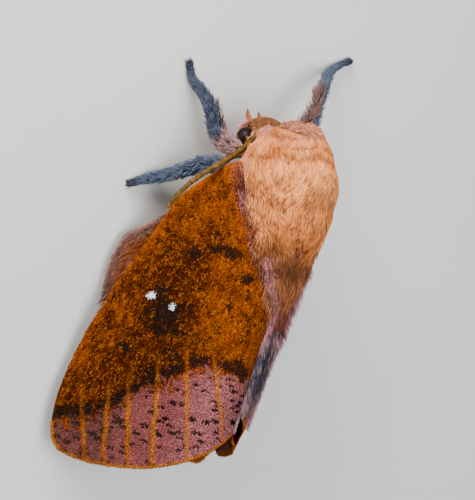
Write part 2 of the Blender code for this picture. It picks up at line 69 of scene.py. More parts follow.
ROOF_HALF_GAP = 0.3
ROOF_RIDGE_FRONT = 11.6
ROOF_RIDGE_FALL = 0.045
ROOF_FRONT_Y = 7.0
VALLEY_ANGLE = -24.0
CREST_LENGTH = 3.2
SLOPE_FRONT = 52.0
SLOPE_REAR = 39.0
TUCK_STEEPER = 8.0
TUCK_CREST = 1.0
TUCK_DROP = 1.0
SLOPE_FRONT_Y = 2.0
SLOPE_REAR_Y = 22.0
ROOF_SAG = 7.0 / 12.0
EDGE_HEIGHT_FRONT = 1.75
EDGE_HEIGHT_REAR = 0.65
EDGE_FRONT_Y = 12.0
EDGE_REAR_Y = 19.0
EDGE_SOFTNESS = 0.45
HINDWING_DROP = 1.2

FORE_COSTA = ((5.0, -2.4), (7.9, -2.6), (10.0, -0.5), (11.7, 1.7), (12.5, 3.9), (13.7, 7.4),
              (14.9, 10.4), (16.1, 13.8), (16.7, 18.0), (17.0, 21.5), (16.8, 24.0))
HIND_COSTA = ((5.2, 1.4), (9.4, 1.9), (12.1, 2.8), (13.8, 4.8), (15.3, 6.4), (15.7, 8.6),
              (15.5, 11.5), (14.6, 14.6), (12.6, 19.0))
HIND_OUTER = ((12.6, 19.0), (10.6, 22.4), (7.4, 24.1))
# Wing plans by side, 1 for left and -1 for right: costa, outer margin and inner margin
FOREWING = {
    1: (FORE_COSTA, ((16.8, 24.0), (16.0, 25.7), (14.6, 26.5), (11.3, 26.6), (6.9, 25.7),
                     (3.3, 23.8), (1.2, 22.0), (0.0, 21.0)),
        ((1.6, 3.2), (0.3, 6.4), (0.0, 10.0), (0.0, 18.0), (0.0, 21.0))),
    -1: (FORE_COSTA, ((16.8, 24.0), (16.2, 24.9), (14.6, 25.4), (11.3, 25.5), (6.9, 24.5),
                      (3.3, 22.6), (0.6, 19.7)),
         ((1.6, 3.2), (0.3, 6.4), (0.0, 10.0), (0.0, 16.5), (0.6, 19.7))),
}
HINDWING = {
    1: (HIND_COSTA, HIND_OUTER + ((4.4, 24.4), (2.6, 24.4), (1.3, 23.5)),
        ((1.6, 4.8), (0.7, 7.7), (0.3, 12.0), (0.3, 20.5), (1.3, 23.5))),
    -1: (HIND_COSTA, HIND_OUTER + ((4.4, 24.3), (2.2, 23.5), (0.6, 22.1)),
         ((1.6, 4.8), (0.7, 7.7), (0.3, 12.0), (0.3, 19.0), (0.6, 22.1))),
}
# The right hindwing's inner lobe rises behind the forewing's edge: a point of that edge, its
# slope in plan, the clear way behind it, the run of the rise and its height
LOBE_CORNER = (0.6, 19.7)
LOBE_EDGE_SLOPE = 1.05
LOBE_CLEAR = 0.45
LOBE_RUN = 1.3
LOBE_RISE = 1.1

ANTENNA_ROUTE = ((1.7, -4.9, 4.9), (2.7, -4.6, 5.5), (3.8, -3.7, 5.7), (5.4, -2.8, 6.1),
                 (7.1, -2.0, 6.5), (8.1, -0.9, 6.0), (9.0, 0.4, 5.4), (9.5, 1.6, 4.9),
                 (10.0, 2.9, 4.6))
PALP_ROUTE = ((0.75, -5.8, 3.0), (0.8, -6.3, 2.4), (0.75, -6.7, 2.1))
FOOT_HEIGHT = 0.3
LEG_ROUTES = {
    "fore_left": ((2.0, -2.9, 5.3), (4.7, -3.9, 3.5), (6.4, -6.9, 2.3), (7.2, -8.3, 0.6),
                  (8.0, -9.9, FOOT_HEIGHT)),
    "fore_right": ((-2.0, -2.7, 5.3), (-4.0, -4.8, 4.1), (-5.6, -7.2, 4.2),
                   (-7.3, -10.1, 3.0), (-10.4, -12.1, 0.6), (-13.2, -13.5, FOOT_HEIGHT)),
    "mid_left": ((2.6, -0.9, 5.0), (4.7, -1.4, 3.2), (8.0, 0.6, 1.1), (9.2, 1.2, 0.5),
                 (11.3, 2.1, FOOT_HEIGHT)),
    "mid_right": ((-2.6, -0.9, 5.0), (-4.7, -1.3, 3.3), (-7.8, 0.8, 1.1), (-9.0, 1.3, 0.5),
                  (-10.9, 2.4, FOOT_HEIGHT)),
    "hind_left": ((2.4, 1.9, 5.0), (4.4, 4.3, 3.2), (5.7, 6.9, 1.2), (6.2, 7.9, 0.5),
                  (7.0, 10.0, FOOT_HEIGHT)),
    "hind_right": ((-2.4, 1.9, 5.0), (-4.3, 4.1, 3.2), (-5.8, 6.6, 1.2), (-6.4, 7.7, 0.5),
                   (-7.4, 9.7, FOOT_HEIGHT)),
}
LEG_RADII = (0.46, 0.50, 0.48, 0.46, 0.38, 0.31, 0.24)


def unit(v):
    """Vectors along the last axis, made one long."""
    return v / np.maximum(np.linalg.norm(v, axis=-1, keepdims=True), 1e-9)


def smooth(x):
    """Soft step from 0 at 0 to 1 at 1, level on both sides."""
    x = np.clip(x, 0.0, 1.0)
    return x * x * (3.0 - 2.0 * x)


def bump(x, width):
    """1 at zero, falling softly away over a width to each side."""
    return np.exp(-(x / width) ** 2)


def spot(x, y, centre, radii):
    """Soft oval mark, 1 at its centre."""
    return bump(np.hypot((x - centre[0]) / radii[0], (y - centre[1]) / radii[1]), 1.0)


def noise(x, y, cell, seed):
    """Smooth value noise from 0 to 1 on a square lattice."""
    gx, gy = x / cell, y / cell
    ix, iy = np.floor(gx), np.floor(gy)
    fx, fy = smooth(gx - ix), smooth(gy - iy)

    def corner(i, j):
        return np.mod(np.sin(i * 127.1 + j * 311.7 + seed * 74.7) * 43758.5453, 1.0)

    near = corner(ix, iy) * (1 - fx) + corner(ix + 1, iy) * fx
    far = corner(ix, iy + 1) * (1 - fx) + corner(ix + 1, iy + 1) * fx
    return near * (1 - fy) + far * fy


def cells(x, y, cell, seed):
    """Distance to the nearest of the points scattered one to a lattice square, and its draw."""
    ix, iy = np.floor(x / cell), np.floor(y / cell)
    best = np.full(np.shape(x), 9.0)
    draw = np.zeros(np.shape(x))
    for dx in (-1, 0, 1):
        for dy in (-1, 0, 1):
            i, j = ix + dx, iy + dy
            a = np.mod(np.sin(i * 269.5 + j * 183.3 + seed * 31.7) * 43758.5453, 1.0)
            b = np.mod(np.sin(i * 113.5 + j * 271.9 + seed * 12.3) * 43758.5453, 1.0)
            distance = np.hypot((i + a) - x / cell, (j + b) - y / cell)
            closer = distance < best
            best = np.where(closer, distance, best)
            draw = np.where(closer, np.mod(a * 7.31 + b * 3.17, 1.0), draw)
    return best, draw


def curve_through(points, t):
    """Points at shares t of the length of a smooth curve through all the points."""
    pts = np.array(points, float)
    reach = np.concatenate([[0.0], np.cumsum(np.linalg.norm(np.diff(pts, axis=0), axis=1))])
    target = np.asarray(t, float) * reach[-1]
    i = np.clip(np.searchsorted(reach, target, side="left") - 1, 0, len(pts) - 2)
    u = ((target - reach[i]) / (reach[i + 1] - reach[i]))[..., None]
    full = np.concatenate([[pts[0] * 2 - pts[1]], pts, [pts[-1] * 2 - pts[-2]]])
    before, a, b, after = full[i], full[i + 1], full[i + 2], full[i + 3]
    return 0.5 * (2 * a + (b - before) * u + (2 * before - 5 * a + 4 * b - after) * u * u
                  + (3 * a - before - 3 * b + after) * u ** 3)


def heading_on(points, t, step=0.01):
    """Direction of the smooth curve through the points at shares t of its length."""
    return unit(curve_through(points, np.minimum(t + step, 1.0))
                - curve_through(points, np.maximum(t - step, 0.0)))


def roof(across, along, tuck):
    """Points of the folded wings' surface, the +X side."""
    across, along = np.broadcast_arrays(across, along)
    valley = math.radians(VALLEY_ANGLE)
    share = np.clip((along - SLOPE_FRONT_Y) / (SLOPE_REAR_Y - SLOPE_FRONT_Y), 0.0, 1.0)
    slope = np.radians(SLOPE_FRONT + (SLOPE_REAR + tuck * TUCK_STEEPER - SLOPE_FRONT) * share)
    crest = CREST_LENGTH - tuck * TUCK_CREST * share
    bend = (slope - valley) / crest
    sag = math.radians(ROOF_SAG)
    near = valley + bend * np.minimum(across, crest)
    far = slope + sag * np.maximum(0.0, across - crest)
    x = ROOF_HALF_GAP + (np.sin(near) - math.sin(valley)) / bend
    x = x + (np.sin(far) - np.sin(slope)) / sag
    z = ROOF_RIDGE_FRONT - ROOF_RIDGE_FALL * (along - ROOF_FRONT_Y) - tuck * TUCK_DROP * share
    z = z + (np.cos(near) - 1.0) / bend + (np.cos(far) - np.cos(slope)) / sag
    rear = smooth((along - EDGE_FRONT_Y) / (EDGE_REAR_Y - EDGE_FRONT_Y))
    edge = EDGE_HEIGHT_FRONT + (EDGE_HEIGHT_REAR - EDGE_HEIGHT_FRONT) * rear
    z = edge + EDGE_SOFTNESS * np.log(1.0 + np.exp((z - edge) / EDGE_SOFTNESS))
    return np.stack([x, along, z], axis=-1)


def on_wing(w, y, side, drop=0.0, lift=0.0):
    """Points lift mm above a wing's middle surface, and the surface's outward normals."""
    tuck = 1.0 if side < 0 else 0.0
    step = 0.05
    out = roof(w + step, y, tuck) - roof(w - step, y, tuck)
    back = roof(w, y + step, tuck) - roof(w, y - step, tuck)
    normal = unit(np.cross(out, back))
    depth = drop
    if drop and side < 0:
        beyond = y - LOBE_CORNER[1] - LOBE_EDGE_SLOPE * (w - LOBE_CORNER[0])
        beyond = beyond / math.hypot(1.0, LOBE_EDGE_SLOPE)
        depth = drop - LOBE_RISE * smooth((beyond - LOBE_CLEAR) / LOBE_RUN)
    point = roof(w, y, tuck) + normal * (np.asarray(lift) - depth)[..., None]
    flip = np.array((side, 1.0, 1.0))
    return point * flip, normal * flip


def plan_point(plan, s, v):
    """Place on a wing plan, s from root to outer margin and v from costa to inner margin."""
    costa, outer, inner = plan
    root_a, root_b = np.array(costa[0]), np.array(inner[0])
    apex, tornus = np.array(outer[0]), np.array(outer[-1])
    s1, v1 = s[..., None], v[..., None]
    corners = (root_a * (1 - s1) + apex * s1) * (1 - v1) + (root_b * (1 - s1) + tornus * s1) * v1
    sides = curve_through(costa, s) * (1 - v1) + curve_through(inner, s) * v1
    root = root_a * (1 - v1) + root_b * v1
    return sides + root * (1 - s1) + curve_through(outer, v) * s1 - corners


def inside(w, y, plan):
    """True where the places lie inside a wing's plan."""
    t = np.linspace(0.0, 1.0, 40)
    costa, outer, inner = (curve_through(line, t) for line in plan)
    loop = np.concatenate([costa, outer, inner[::-1]])
    found = np.zeros(np.shape(w), bool)
    for (ax, ay), (bx, by) in zip(loop, np.roll(loop, -1, axis=0)):
        crosses = (ay > y) != (by > y)
        if ay != by:
            found ^= crosses & (w < (bx - ax) * (y - ay) / (by - ay) + ax)
    return found


def distance_to(w, y, line):
    """How far places lie in plan from the smooth line through some points."""
    points = curve_through(line, np.linspace(0.0, 1.0, 50))
    best = np.full(np.shape(w), 99.0)
    for (ax, ay), (bx, by) in zip(points, points[1:]):
        dx, dy = bx - ax, by - ay
        share = np.clip(((w - ax) * dx + (y - ay) * dy) / (dx * dx + dy * dy + 1e-9), 0, 1)
        best = np.minimum(best, np.hypot(w - ax - share * dx, y - ay - share * dy))
    return best


def put(points):
    """Points in mm of the plan frame, as metres in the CAD's frame."""
    return (np.asarray(points) - (0.0, MIDDLE_Y, 0.0)) * MM


def core_point(polar, around, level):
    """Points level mm above the thorax core, polar back from the front, around from the top."""
    side, length, height, under = (r + level for r in CORE_RADII)
    a, b = np.radians(polar), np.radians(around)
    z = np.sin(a) * np.cos(b)
    return THORAX_CENTRE + np.stack([np.sin(a) * np.sin(b) * side, -np.cos(a) * length,
                                     z * np.where(z > 0.0, height, under)], axis=-1)


def abdomen_point(along, around, level):
    """Points level mm off the abdomen, along in mm from its front, around from its top."""
    share = np.clip(along / ABDOMEN_LENGTH, 0.0, 1.0) * (len(ABDOMEN_RADII) - 1)
    radius = np.interp(share, range(len(ABDOMEN_RADII)), ABDOMEN_RADII)
    radius = radius * (0.99 + 0.03 * np.sin(share * 2 * math.pi))
    end = np.clip((ABDOMEN_LENGTH - along) / 0.9, 0.0, 1.0)
    radius = radius * np.sqrt(1.0 - (1.0 - end) ** 2) + level
    tilt = math.radians(ABDOMEN_TILT)
    axis = np.array((0.0, math.cos(tilt), math.sin(tilt)))
    up = np.array((0.0, -math.sin(tilt), math.cos(tilt)))
    b = np.radians(around)
    side = np.stack([np.sin(b) * radius, 0 * b, 0 * b], axis=-1)
    return ABDOMEN_START + along[..., None] * axis + side + (np.cos(b) * radius)[..., None] * up


def make_mesh(name, points, quads, tris, material, masks=None, uv=None):
    """Mesh object from arrays; masks are point attributes and uv holds one pair per corner."""
    mesh = bpy.data.meshes.new(name)
    flat = put(points).reshape(-1, 3)
    corners = np.concatenate([quads.reshape(-1), tris.reshape(-1)]).astype(np.int32)
    sizes = np.concatenate([np.full(len(quads), 4), np.full(len(tris), 3)])
    starts = np.concatenate([[0], np.cumsum(sizes)[:-1]]).astype(np.int32)
    mesh.vertices.add(len(flat))
    mesh.vertices.foreach_set("co", flat.astype(np.float32).ravel())
    mesh.loops.add(len(corners))
    mesh.loops.foreach_set("vertex_index", corners)
    mesh.polygons.add(len(sizes))
    mesh.polygons.foreach_set("loop_start", starts)
    mesh.update(calc_edges=True)
    mesh.shade_smooth()
    for key, values in (masks or {}).items():
        layer = mesh.attributes.new(key, "FLOAT", "POINT")
        layer.data.foreach_set("value", np.asarray(values, np.float32).ravel())
    if uv is not None:
        layer = mesh.uv_layers.new(name="OFBake")
        layer.data.foreach_set("uv", uv.astype(np.float32).ravel())
    mesh.materials.append(material)
    obj = bpy.data.objects.new(name, mesh)
    bpy.context.scene.collection.objects.link(obj)
    return obj


def strand_patch(last):
    """Places on the map of one strand's corners about its patch's centre: quads, then triangles."""
    quads = [(j + dj, i + di) for i in range(last - 1) for j in range(3)
             for dj, di in ((1, 0), (0, 0), (0, 1), (1, 1))]
    tris = [(j + dj, last - 1 + di) for j in range(3) for dj, di in ((1, 0), (0, 0), (0.5, 1))]
    tris += [(0.0, 0.0), (0.5, 0.4), (1.0, 0.0)]
    return [np.array(places) / (3, last) - 0.5 for places in (quads, tris)]


def pick(masks, n, keep):
    """Masks of the strands that are kept, one value for each."""
    return {key: np.broadcast_to(value, n)[keep] for key, value in masks.items()}


def strands(name, centre, normal, width, flatness, material, masks, root_uv):
    """Joined mesh of tapered three-sided strands along centre lines of shape (n, rings + 1, 3).

    A mask holds one value per strand, or one for all. Each strand's corners get a patch of the
    map at its root's place.
    """
    n, last = len(centre), centre.shape[1] - 1
    tangent = unit(np.gradient(centre, axis=1))
    side = unit(np.cross(tangent, normal[:, None]))
    up = unit(np.cross(side, tangent))
    t = np.arange(last) / last
    half = (width[:, None] / 2 * (1.0 - 0.55 * t ** 1.6))[..., None]
    middle = centre[:, :last]
    ring = np.stack([middle - side[:, :last] * half - up[:, :last] * half * flatness * 0.5,
                     middle + side[:, :last] * half - up[:, :last] * half * flatness * 0.5,
                     middle + up[:, :last] * half * flatness], axis=2)
    points = np.concatenate([ring.reshape(n, -1, 3), centre[:, last:]], axis=1)
    per = last * 3 + 1
    base = (np.arange(n) * per)[:, None]
    quads = []
    for i in range(last - 1):
        for j in range(3):
            k = (j + 1) % 3
            quads.append(base + (i * 3 + k, i * 3 + j, i * 3 + 3 + j, i * 3 + 3 + k))
    end = (last - 1) * 3
    tris = [base + (end + (j + 1) % 3, end + j, end + 3) for j in range(3)]
    tris.append(base + (0, 1, 2))
    quads = np.stack(quads, axis=1).reshape(-1, 4)
    tris = np.stack(tris, axis=1).reshape(-1, 3)
    quad_uv, tri_uv = strand_patch(last)
    uv = np.concatenate([(root_uv[:, None] + quad_uv * PATCH).reshape(-1, 2),
                         (root_uv[:, None] + tri_uv * PATCH).reshape(-1, 2)])
    spread = {key: np.repeat(np.broadcast_to(value, n), per) for key, value in masks.items()}
    spread["reach"] = np.tile(np.concatenate([np.repeat(t, 3), [1.0]]), n)
    return make_mesh(name, points, quads, tris, material, spread, uv)


def surface_lines(root, normal, lie, length, rise, bend=0.0):
    """Centre lines that leave a surface and lie along it, sinking as it bends away."""
    t = np.linspace(0.0, 1.0, SEGMENTS + 1)
    lie = unit(lie - normal * np.sum(lie * normal, axis=1, keepdims=True))
    reach = length[:, None] * t
    height = rise[:, None] * (1.0 - (1.0 - t) ** 2) - bend * reach ** 2 / 2
    return root[:, None] + lie[:, None] * reach[..., None] + normal[:, None] * height[..., None]


def straight_lines(root, way, length):
    """Straight centre lines, each its own length along its own way."""
    reach = length[:, None] * np.linspace(0, 1, SEGMENTS + 1)
    return root[:, None] + unit(way)[:, None] * reach[..., None]


def wisps(centre, per, share, rng):
    """Strands with their tips gathered into wisps of about so many, and one draw per wisp."""
    root, tip = centre[:, 0], centre[:, -1]
    count = max(24, len(root) // per)
    guides = rng.choice(len(root), count, replace=False)
    tree = KDTree(count)
    for i, g in enumerate(guides):
        tree.insert(root[g], i)
    tree.balance()
    nearest = np.array([tree.find(p)[1] for p in root])
    pull = (tip[guides[nearest]] - tip) * share
    t = np.linspace(0.0, 1.0, centre.shape[1])
    return centre + pull[:, None] * (t ** 2)[None, :, None], rng.random(count)[nearest]


def scale_mesh(name, root, lie, normal, length, width, rise, material, masks, root_uv):
    """Joined mesh of thin kite-shaped scales, each with a low ridge: six triangles a scale."""
    n = len(root)
    half = np.cross(lie, normal) * (width / 2)[:, None]
    middle = root + lie * (length * 0.6)[:, None] + normal * (rise * 0.6)[:, None]
    tip = root + lie * length[:, None] + normal * rise[:, None]
    ridge = root + lie * (length * 0.5)[:, None] + normal * (rise * 0.5 + width * 0.2)[:, None]
    points = np.stack([root, middle + half, tip, middle - half, ridge], axis=1)
    faces = ((0, 1, 4), (1, 2, 4), (2, 3, 4), (3, 0, 4), (0, 3, 2), (0, 2, 1))
    base = (np.arange(n) * 5)[:, None]
    tris = np.stack([base + f for f in faces], axis=1).reshape(-1, 3)
    patch = np.array(((0.0, -0.5), (0.4, 0.1), (0.0, 0.5), (-0.4, 0.1), (0.0, 0.0))) * PATCH
    corner_uv = patch[np.array(faces).ravel()]
    uv = (root_uv[:, None] + corner_uv[None]).reshape(-1, 2)
    spread = {key: np.repeat(np.broadcast_to(value, n), 5) for key, value in masks.items()}
    return make_mesh(name, points, np.zeros((0, 4), int), tris, material, spread, uv)


class Nodes:
    """Short calls for building one material's nodes."""

    def __init__(self, name, roughness, specular):
        self.material = bpy.data.materials.new(name)
        self.material.use_nodes = True
        self.tree = self.material.node_tree
        self.shader = self.tree.nodes["Principled BSDF"]
        self.shader.inputs["Roughness"].default_value = roughness
        self.shader.inputs["Specular IOR Level"].default_value = specular

    def link(self, value, socket):
        """Join an output to a socket, or set the socket to a number or colour."""
        if isinstance(value, bpy.types.NodeSocket):
            self.tree.links.new(value, socket)
        elif isinstance(value, tuple):
            socket.default_value = (*value, 1.0) if len(socket.default_value) == 4 else value
        else:
            socket.default_value = value

    def mask(self, name):
        """A point attribute; one that the mesh lacks reads 0."""
        node = self.tree.nodes.new("ShaderNodeAttribute")
        node.attribute_name = name
        return node.outputs["Fac"]

    def math(self, operation, a, b=0.0, clamp=False):
        node = self.tree.nodes.new("ShaderNodeMath")
        node.operation = operation
        node.use_clamp = clamp
        self.link(a, node.inputs[0])
        self.link(b, node.inputs[1])
        return node.outputs[0]

    def above(self, value, start, run):
        """0 below start, 1 above start + run."""
        return self.math("DIVIDE", self.math("SUBTRACT", value, start), run, True)

    def mix(self, share, a, b):
        """Colour that goes from a to b with the share."""
        node = self.tree.nodes.new("ShaderNodeMix")
        node.data_type = "RGBA"
        node.clamp_factor = True
        self.link(share, node.inputs[0])
        self.link(a, node.inputs[6])
        self.link(b, node.inputs[7])
        return node.outputs[2]

    def noise(self, scale, detail=3.0):
        """Noise in the object's own place, scale in features per mm, spread over 0 to 1."""
        place = self.tree.nodes.new("ShaderNodeTexCoord")
        node = self.tree.nodes.new("ShaderNodeTexNoise")
        node.inputs["Scale"].default_value = scale / MM
        node.inputs["Detail"].default_value = detail
        self.tree.links.new(place.outputs["Object"], node.inputs["Vector"])
        spread = self.tree.nodes.new("ShaderNodeMapRange")
        spread.inputs["From Min"].default_value = 0.35
        spread.inputs["From Max"].default_value = 0.65
        self.tree.links.new(node.outputs["Fac"], spread.inputs["Value"])
        return spread.outputs["Result"]

    def colour(self, value):
        self.link(value, self.shader.inputs["Base Color"])

    def raise_by(self, height, distance, strength=1.0):
        """Bumps from a height, distance in mm."""
        node = self.tree.nodes.new("ShaderNodeBump")
        node.inputs["Strength"].default_value = strength
        node.inputs["Distance"].default_value = distance * MM
        self.link(height, node.inputs["Height"])
        self.tree.links.new(node.outputs["Normal"], self.shader.inputs["Normal"])


ORANGE = (0.25, 0.046, 0.0008)
ORANGE_DEEP = (0.050, 0.0075, 0.0002)
BROWN_DARK = (0.020, 0.005, 0.001)
ORANGE_BRIGHT = (0.33, 0.078, 0.0012)
GOLD = (0.55, 0.19, 0.006)
ROSE = (0.150, 0.036, 0.034)
ROSE_PALE = (0.24, 0.076, 0.073)
MAUVE = (0.080, 0.031, 0.024)
ORCHID = (0.68, 0.29, 0.33)
MAROON = (0.170, 0.024, 0.022)
# Near-black of the dark marks, and of painted shade where a mask puts it
SOOT_AND_SHADE = (0.010, 0.006, 0.005)
WHITE_SPOT = (0.70, 0.78, 0.80)
PEACH = (0.78, 0.25, 0.055)
PEACH_PALE = (0.92, 0.40, 0.15)
PEACH_DEEP = (0.44, 0.095, 0.008)
PINK_PALE = (0.66, 0.33, 0.26)
LILAC = (0.30, 0.16, 0.17)
SLATE = (0.030, 0.039, 0.064)
SLATE_PALE = (0.14, 0.175, 0.255)
BROWN_ORANGE = (0.30, 0.080, 0.018)
BROWN_GOLD = (0.14, 0.055, 0.006)
BROWN_ROSY = (0.52, 0.19, 0.10)
BLACK = (0.0, 0.0, 0.0)


def wing_material():
    """Scales from orange to deep brown, flecked gold and dark, with the markings over them."""
    m = Nodes("wing_scales", 0.7, 0.0)
    tone, shade = m.mask("tone"), m.mask("shade")
    base = m.mix(shade, ORANGE, ORANGE_DEEP)
    fleck = m.math("MULTIPLY", m.above(tone, 0.80, 0.2), 0.55)
    base = m.mix(fleck, base, m.mix(shade, GOLD, ORANGE))
    base = m.mix(m.math("MULTIPLY", m.above(m.math("SUBTRACT", 1.0, tone), 0.75, 0.2), 0.7),
                 base, BROWN_DARK)
    rose = m.mix(m.math("MULTIPLY", tone, 0.8), ROSE, ROSE_PALE)
    rose = m.mix(shade, rose, MAUVE)
    base = m.mix(m.mask("rose"), base, rose)
    base = m.mix(m.mask("lilac"), base, m.mix(tone, ROSE_PALE, ORCHID))
    base = m.mix(m.mask("gold"), base, m.mix(tone, ORANGE_BRIGHT, GOLD))
    base = m.mix(m.mask("maroon"), base, m.mix(m.math("MULTIPLY", tone, 0.5), MAROON, ROSE))
    base = m.mix(m.mask("soot"), base, SOOT_AND_SHADE)
    base = m.mix(m.mask("white"), base, WHITE_SPOT)
    m.colour(m.mix(m.math("MULTIPLY", m.noise(8.0), 0.3), base, BLACK))
    m.raise_by(m.noise(7.0, 2.0), 0.03, 0.6)
    return m.material


def fur_material(name, deep, middle, pale):
    """Hair: darkened at the root with painted shade, deep in some wisps, paler at the tip, with the
    coat's markings.
    """
    m = Nodes(name, 0.65, 0.12)
    tone, reach = m.mask("tone"), m.mask("reach")
    base = m.mix(tone, middle, pale)
    base = m.mix(m.mask("deep"), base, m.mix(tone, deep, middle))
    base = m.mix(m.mask("brown"), base, m.mix(tone, BROWN_GOLD, BROWN_ROSY))
    base = m.mix(m.mask("rose"), base, PINK_PALE)
    base = m.mix(m.mask("lilac"), base, LILAC)
    base = m.mix(m.mask("gold"), base, BROWN_GOLD)
    base = m.mix(m.mask("soot"), base, SOOT_AND_SHADE)
    # Painted shade: each strand darkens toward its root, where the coat shades itself
    shade = m.math("SUBTRACT", 1.0, m.math("MULTIPLY", reach, 1.8), True)
    base = m.mix(m.math("MULTIPLY", shade, 0.6), base, m.mix(0.6, base, BLACK))
    m.colour(m.mix(m.math("MULTIPLY", m.noise(0.9), 0.3), base, m.mix(0.5, base, deep)))
    return m.material


def leg_material():
    """Grey-blue fuzz with paler tips, orange or rosy where masked and dark at the foot."""
    m = Nodes("leg_fuzz", 0.7, 0.12)
    tone, reach = m.mask("tone"), m.mask("reach")
    base = m.mix(m.math("MULTIPLY", m.math("ADD", tone, reach), 0.5), SLATE, SLATE_PALE)
    base = m.mix(m.mask("orange"), base, m.mix(tone, BROWN_GOLD, BROWN_ORANGE))
    base = m.mix(m.mask("rose"), base, m.mix(tone, LILAC, PINK_PALE))
    base = m.mix(m.mask("soot"), base, SOOT_AND_SHADE)
    m.colour(m.mix(m.math("MULTIPLY", m.noise(1.5), 0.5), base, SLATE))
    return m.material


def skin_material():
    """The body's skin, seen only between the hairs."""
    m = Nodes("skin", 0.8, 0.1)
    base = m.mix(m.mask("slate"), BROWN_ORANGE, SLATE)
    m.colour(m.mix(m.noise(2.0), base, m.mix(0.5, base, BLACK)))
    m.raise_by(m.noise(5.0), 0.05)
    return m.material


def antenna_material():
    """Mottled olive brown with fine bumps."""
    m = Nodes("antenna", 0.6, 0.1)
    m.colour(m.mix(m.noise(3.0), (0.030, 0.014, 0.002), (0.12, 0.058, 0.007)))
    m.raise_by(m.noise(8.0), 0.02)
    return m.material


def eye_material():
    """Near-black with the fine bumps of an eye of many lenses."""
    m = Nodes("compound_eye", 0.3, 0.05)
    place = m.tree.nodes.new("ShaderNodeTexCoord")
    lens = m.tree.nodes.new("ShaderNodeTexVoronoi")
    lens.inputs["Scale"].default_value = 14.0 / MM
    lens.inputs["Randomness"].default_value = 0.2
    m.tree.links.new(place.outputs["Object"], lens.inputs["Vector"])
    m.colour(m.mix(m.noise(1.5), (0.004, 0.003, 0.004), (0.018, 0.010, 0.008)))
    m.raise_by(m.math("SUBTRACT", 1.0, lens.outputs["Distance"]), 0.01, 0.5)
    return m.material


# Veins seen as orange lines in the rose border: two places each, from inside to the margin
VEIN_LINES = (((14.2, 22.7), (13.6, 24.3)), ((12.3, 21.4), (11.8, 23.5)),
              ((10.8, 20.1), (9.0, 25.8)), ((8.9, 17.5), (7.5, 23.3)),
              ((6.7, 15.9), (4.8, 21.8)), ((4.35, 15.1), (2.0, 20.5)))
# Middle of the dark band between the orange field and the rose border, from inner margin to costa
BAND_W = (-1.0, 0.7, 2.4, 4.3, 6.3, 7.3, 8.5, 9.5, 10.3, 11.8, 13.0, 14.8, 16.4)
BAND_Y = (16.2, 15.7, 15.1, 14.9, 15.8, 16.7, 17.3, 18.3, 18.9, 20.6, 21.6, 22.5, 23.0)
# Line along which rosy hair parts the wing from the thorax's coat
BASE_LINE = ((7.5, -2.0), (6.9, -0.7), (6.2, 0.5), (5.3, 1.6), (4.7, 2.7), (4.1, 3.7),
             (3.2, 4.6), (2.4, 6.0), (1.5, 7.5), (0.4, 9.0))
WHITE_SPOTS = ((11.47, 10.85, 0.34), (9.42, 11.27, 0.27))
# Dark clouds: place, half width, half length and how dense
CLOUDS = ((9.8, 12.4, 2.3, 2.0, 1.0), (10.7, 10.2, 1.1, 1.0, 0.85), (8.2, 11.2, 1.0, 1.2, 0.6),
          (12.35, 15.9, 0.9, 0.6, 0.9), (9.0, 6.2, 1.0, 0.7, 0.8), (6.4, 5.3, 1.9, 0.7, 1.0),
          (7.4, 4.0, 0.6, 0.5, 0.7), (3.8, 7.0, 0.8, 0.7, 0.8), (9.3, 8.4, 0.7, 1.2, 0.6),
          (9.3, 16.6, 1.6, 1.4, 0.6), (4.6, 9.8, 0.6, 0.5, 0.6), (2.6, 10.6, 0.4, 0.4, 0.5),
          (11.3, 5.0, 0.5, 0.5, 0.6), (5.2, 12.2, 0.5, 0.6, 0.4))


def vein_nearness(w, y, width):
    """1 on a vein, falling away over a width to each side."""
    near = np.zeros(np.shape(w))
    w = w + (noise(w * 0.3, y, 1.1, 13) - 0.5) * 0.22
    for (w0, y0), (w1, y1) in VEIN_LINES:
        near = np.maximum(near, bump(w - w0 - (y - y0) * (w1 - w0) / (y1 - y0), width))
    return near


def orange_shade(w, y, past, from_costa, fine):
    """How deep the orange field is: darker to the middle, the left and the band."""
    shade = 0.34 + 0.55 * bump(w - 10.4, 3.4) * smooth((y - 4.5) / 3.0) - 0.25 * smooth(3.5 - y)
    shade = shade + (noise(w, y, 2.2, 7) - 0.5) * 0.4 + (noise(w, y, 0.6, 8) - 0.5) * 0.5
    shade = shade + 0.30 * smooth((w - 6.0) / 2.0) - 0.20 * bump(from_costa - 0.2, 0.9)
    shade = shade + 0.30 * bump(past + 2.0, 3.5) * smooth((w - 7.0) / 3.0)
    return shade + fine


def band_and_clouds(w, y, past):
    """The dark band along the rose border and the clouds in the orange field."""
    wide = 0.60 * bump(past + 1.2, 2.2) * bump(w - 8.0, 6.5)
    band = np.maximum(bump(past + 0.1, 0.8) * (0.40 + 0.75 * noise(w, y, 0.9, 9)),
                      wide * (0.4 + 0.9 * noise(w, y, 0.7, 12)))
    band = band * (0.35 + 0.65 * smooth(w / 2.0))
    for cw, cy, rw, ry, dense in CLOUDS:
        cloud = spot(w, y, (cw, cy), (rw, ry)) * dense
        band = np.maximum(band, cloud * (0.6 + 0.8 * noise(w, y, 0.5, 10)))
    return band


def specks_and_dashes(w, y, rose, rosy, left):
    """Black specks in the orange field and short dashes across the rose border."""
    distance, draw = cells(w, y, 0.9, 17)
    specks = smooth((0.08 + 0.10 * draw - distance) / 0.05) * (draw > 0.3) * (1.0 - rosy)
    distance, draw = cells(w * 0.36 + 0.07 * y, y, 0.60, 23)
    size = 0.19 + 0.11 * draw + 0.05 * left
    dashes = smooth((size - distance) / 0.05) * (draw > 0.15) * smooth(rose * 2.0 - 0.6)
    return np.maximum(specks * 0.9, dashes * (1.0 - 0.2 * left))


def white_spots(w, y):
    """The forewing's two white spots, with ragged edges."""
    white = np.zeros(np.shape(w))
    for cw, cy, r in WHITE_SPOTS:
        ragged = np.hypot((w - cw) / 1.3, y - cy) + (noise(w, y, 0.22, 31) - 0.5) * 0.22
        white = np.maximum(white, smooth((r - ragged) / 0.07))
    return white


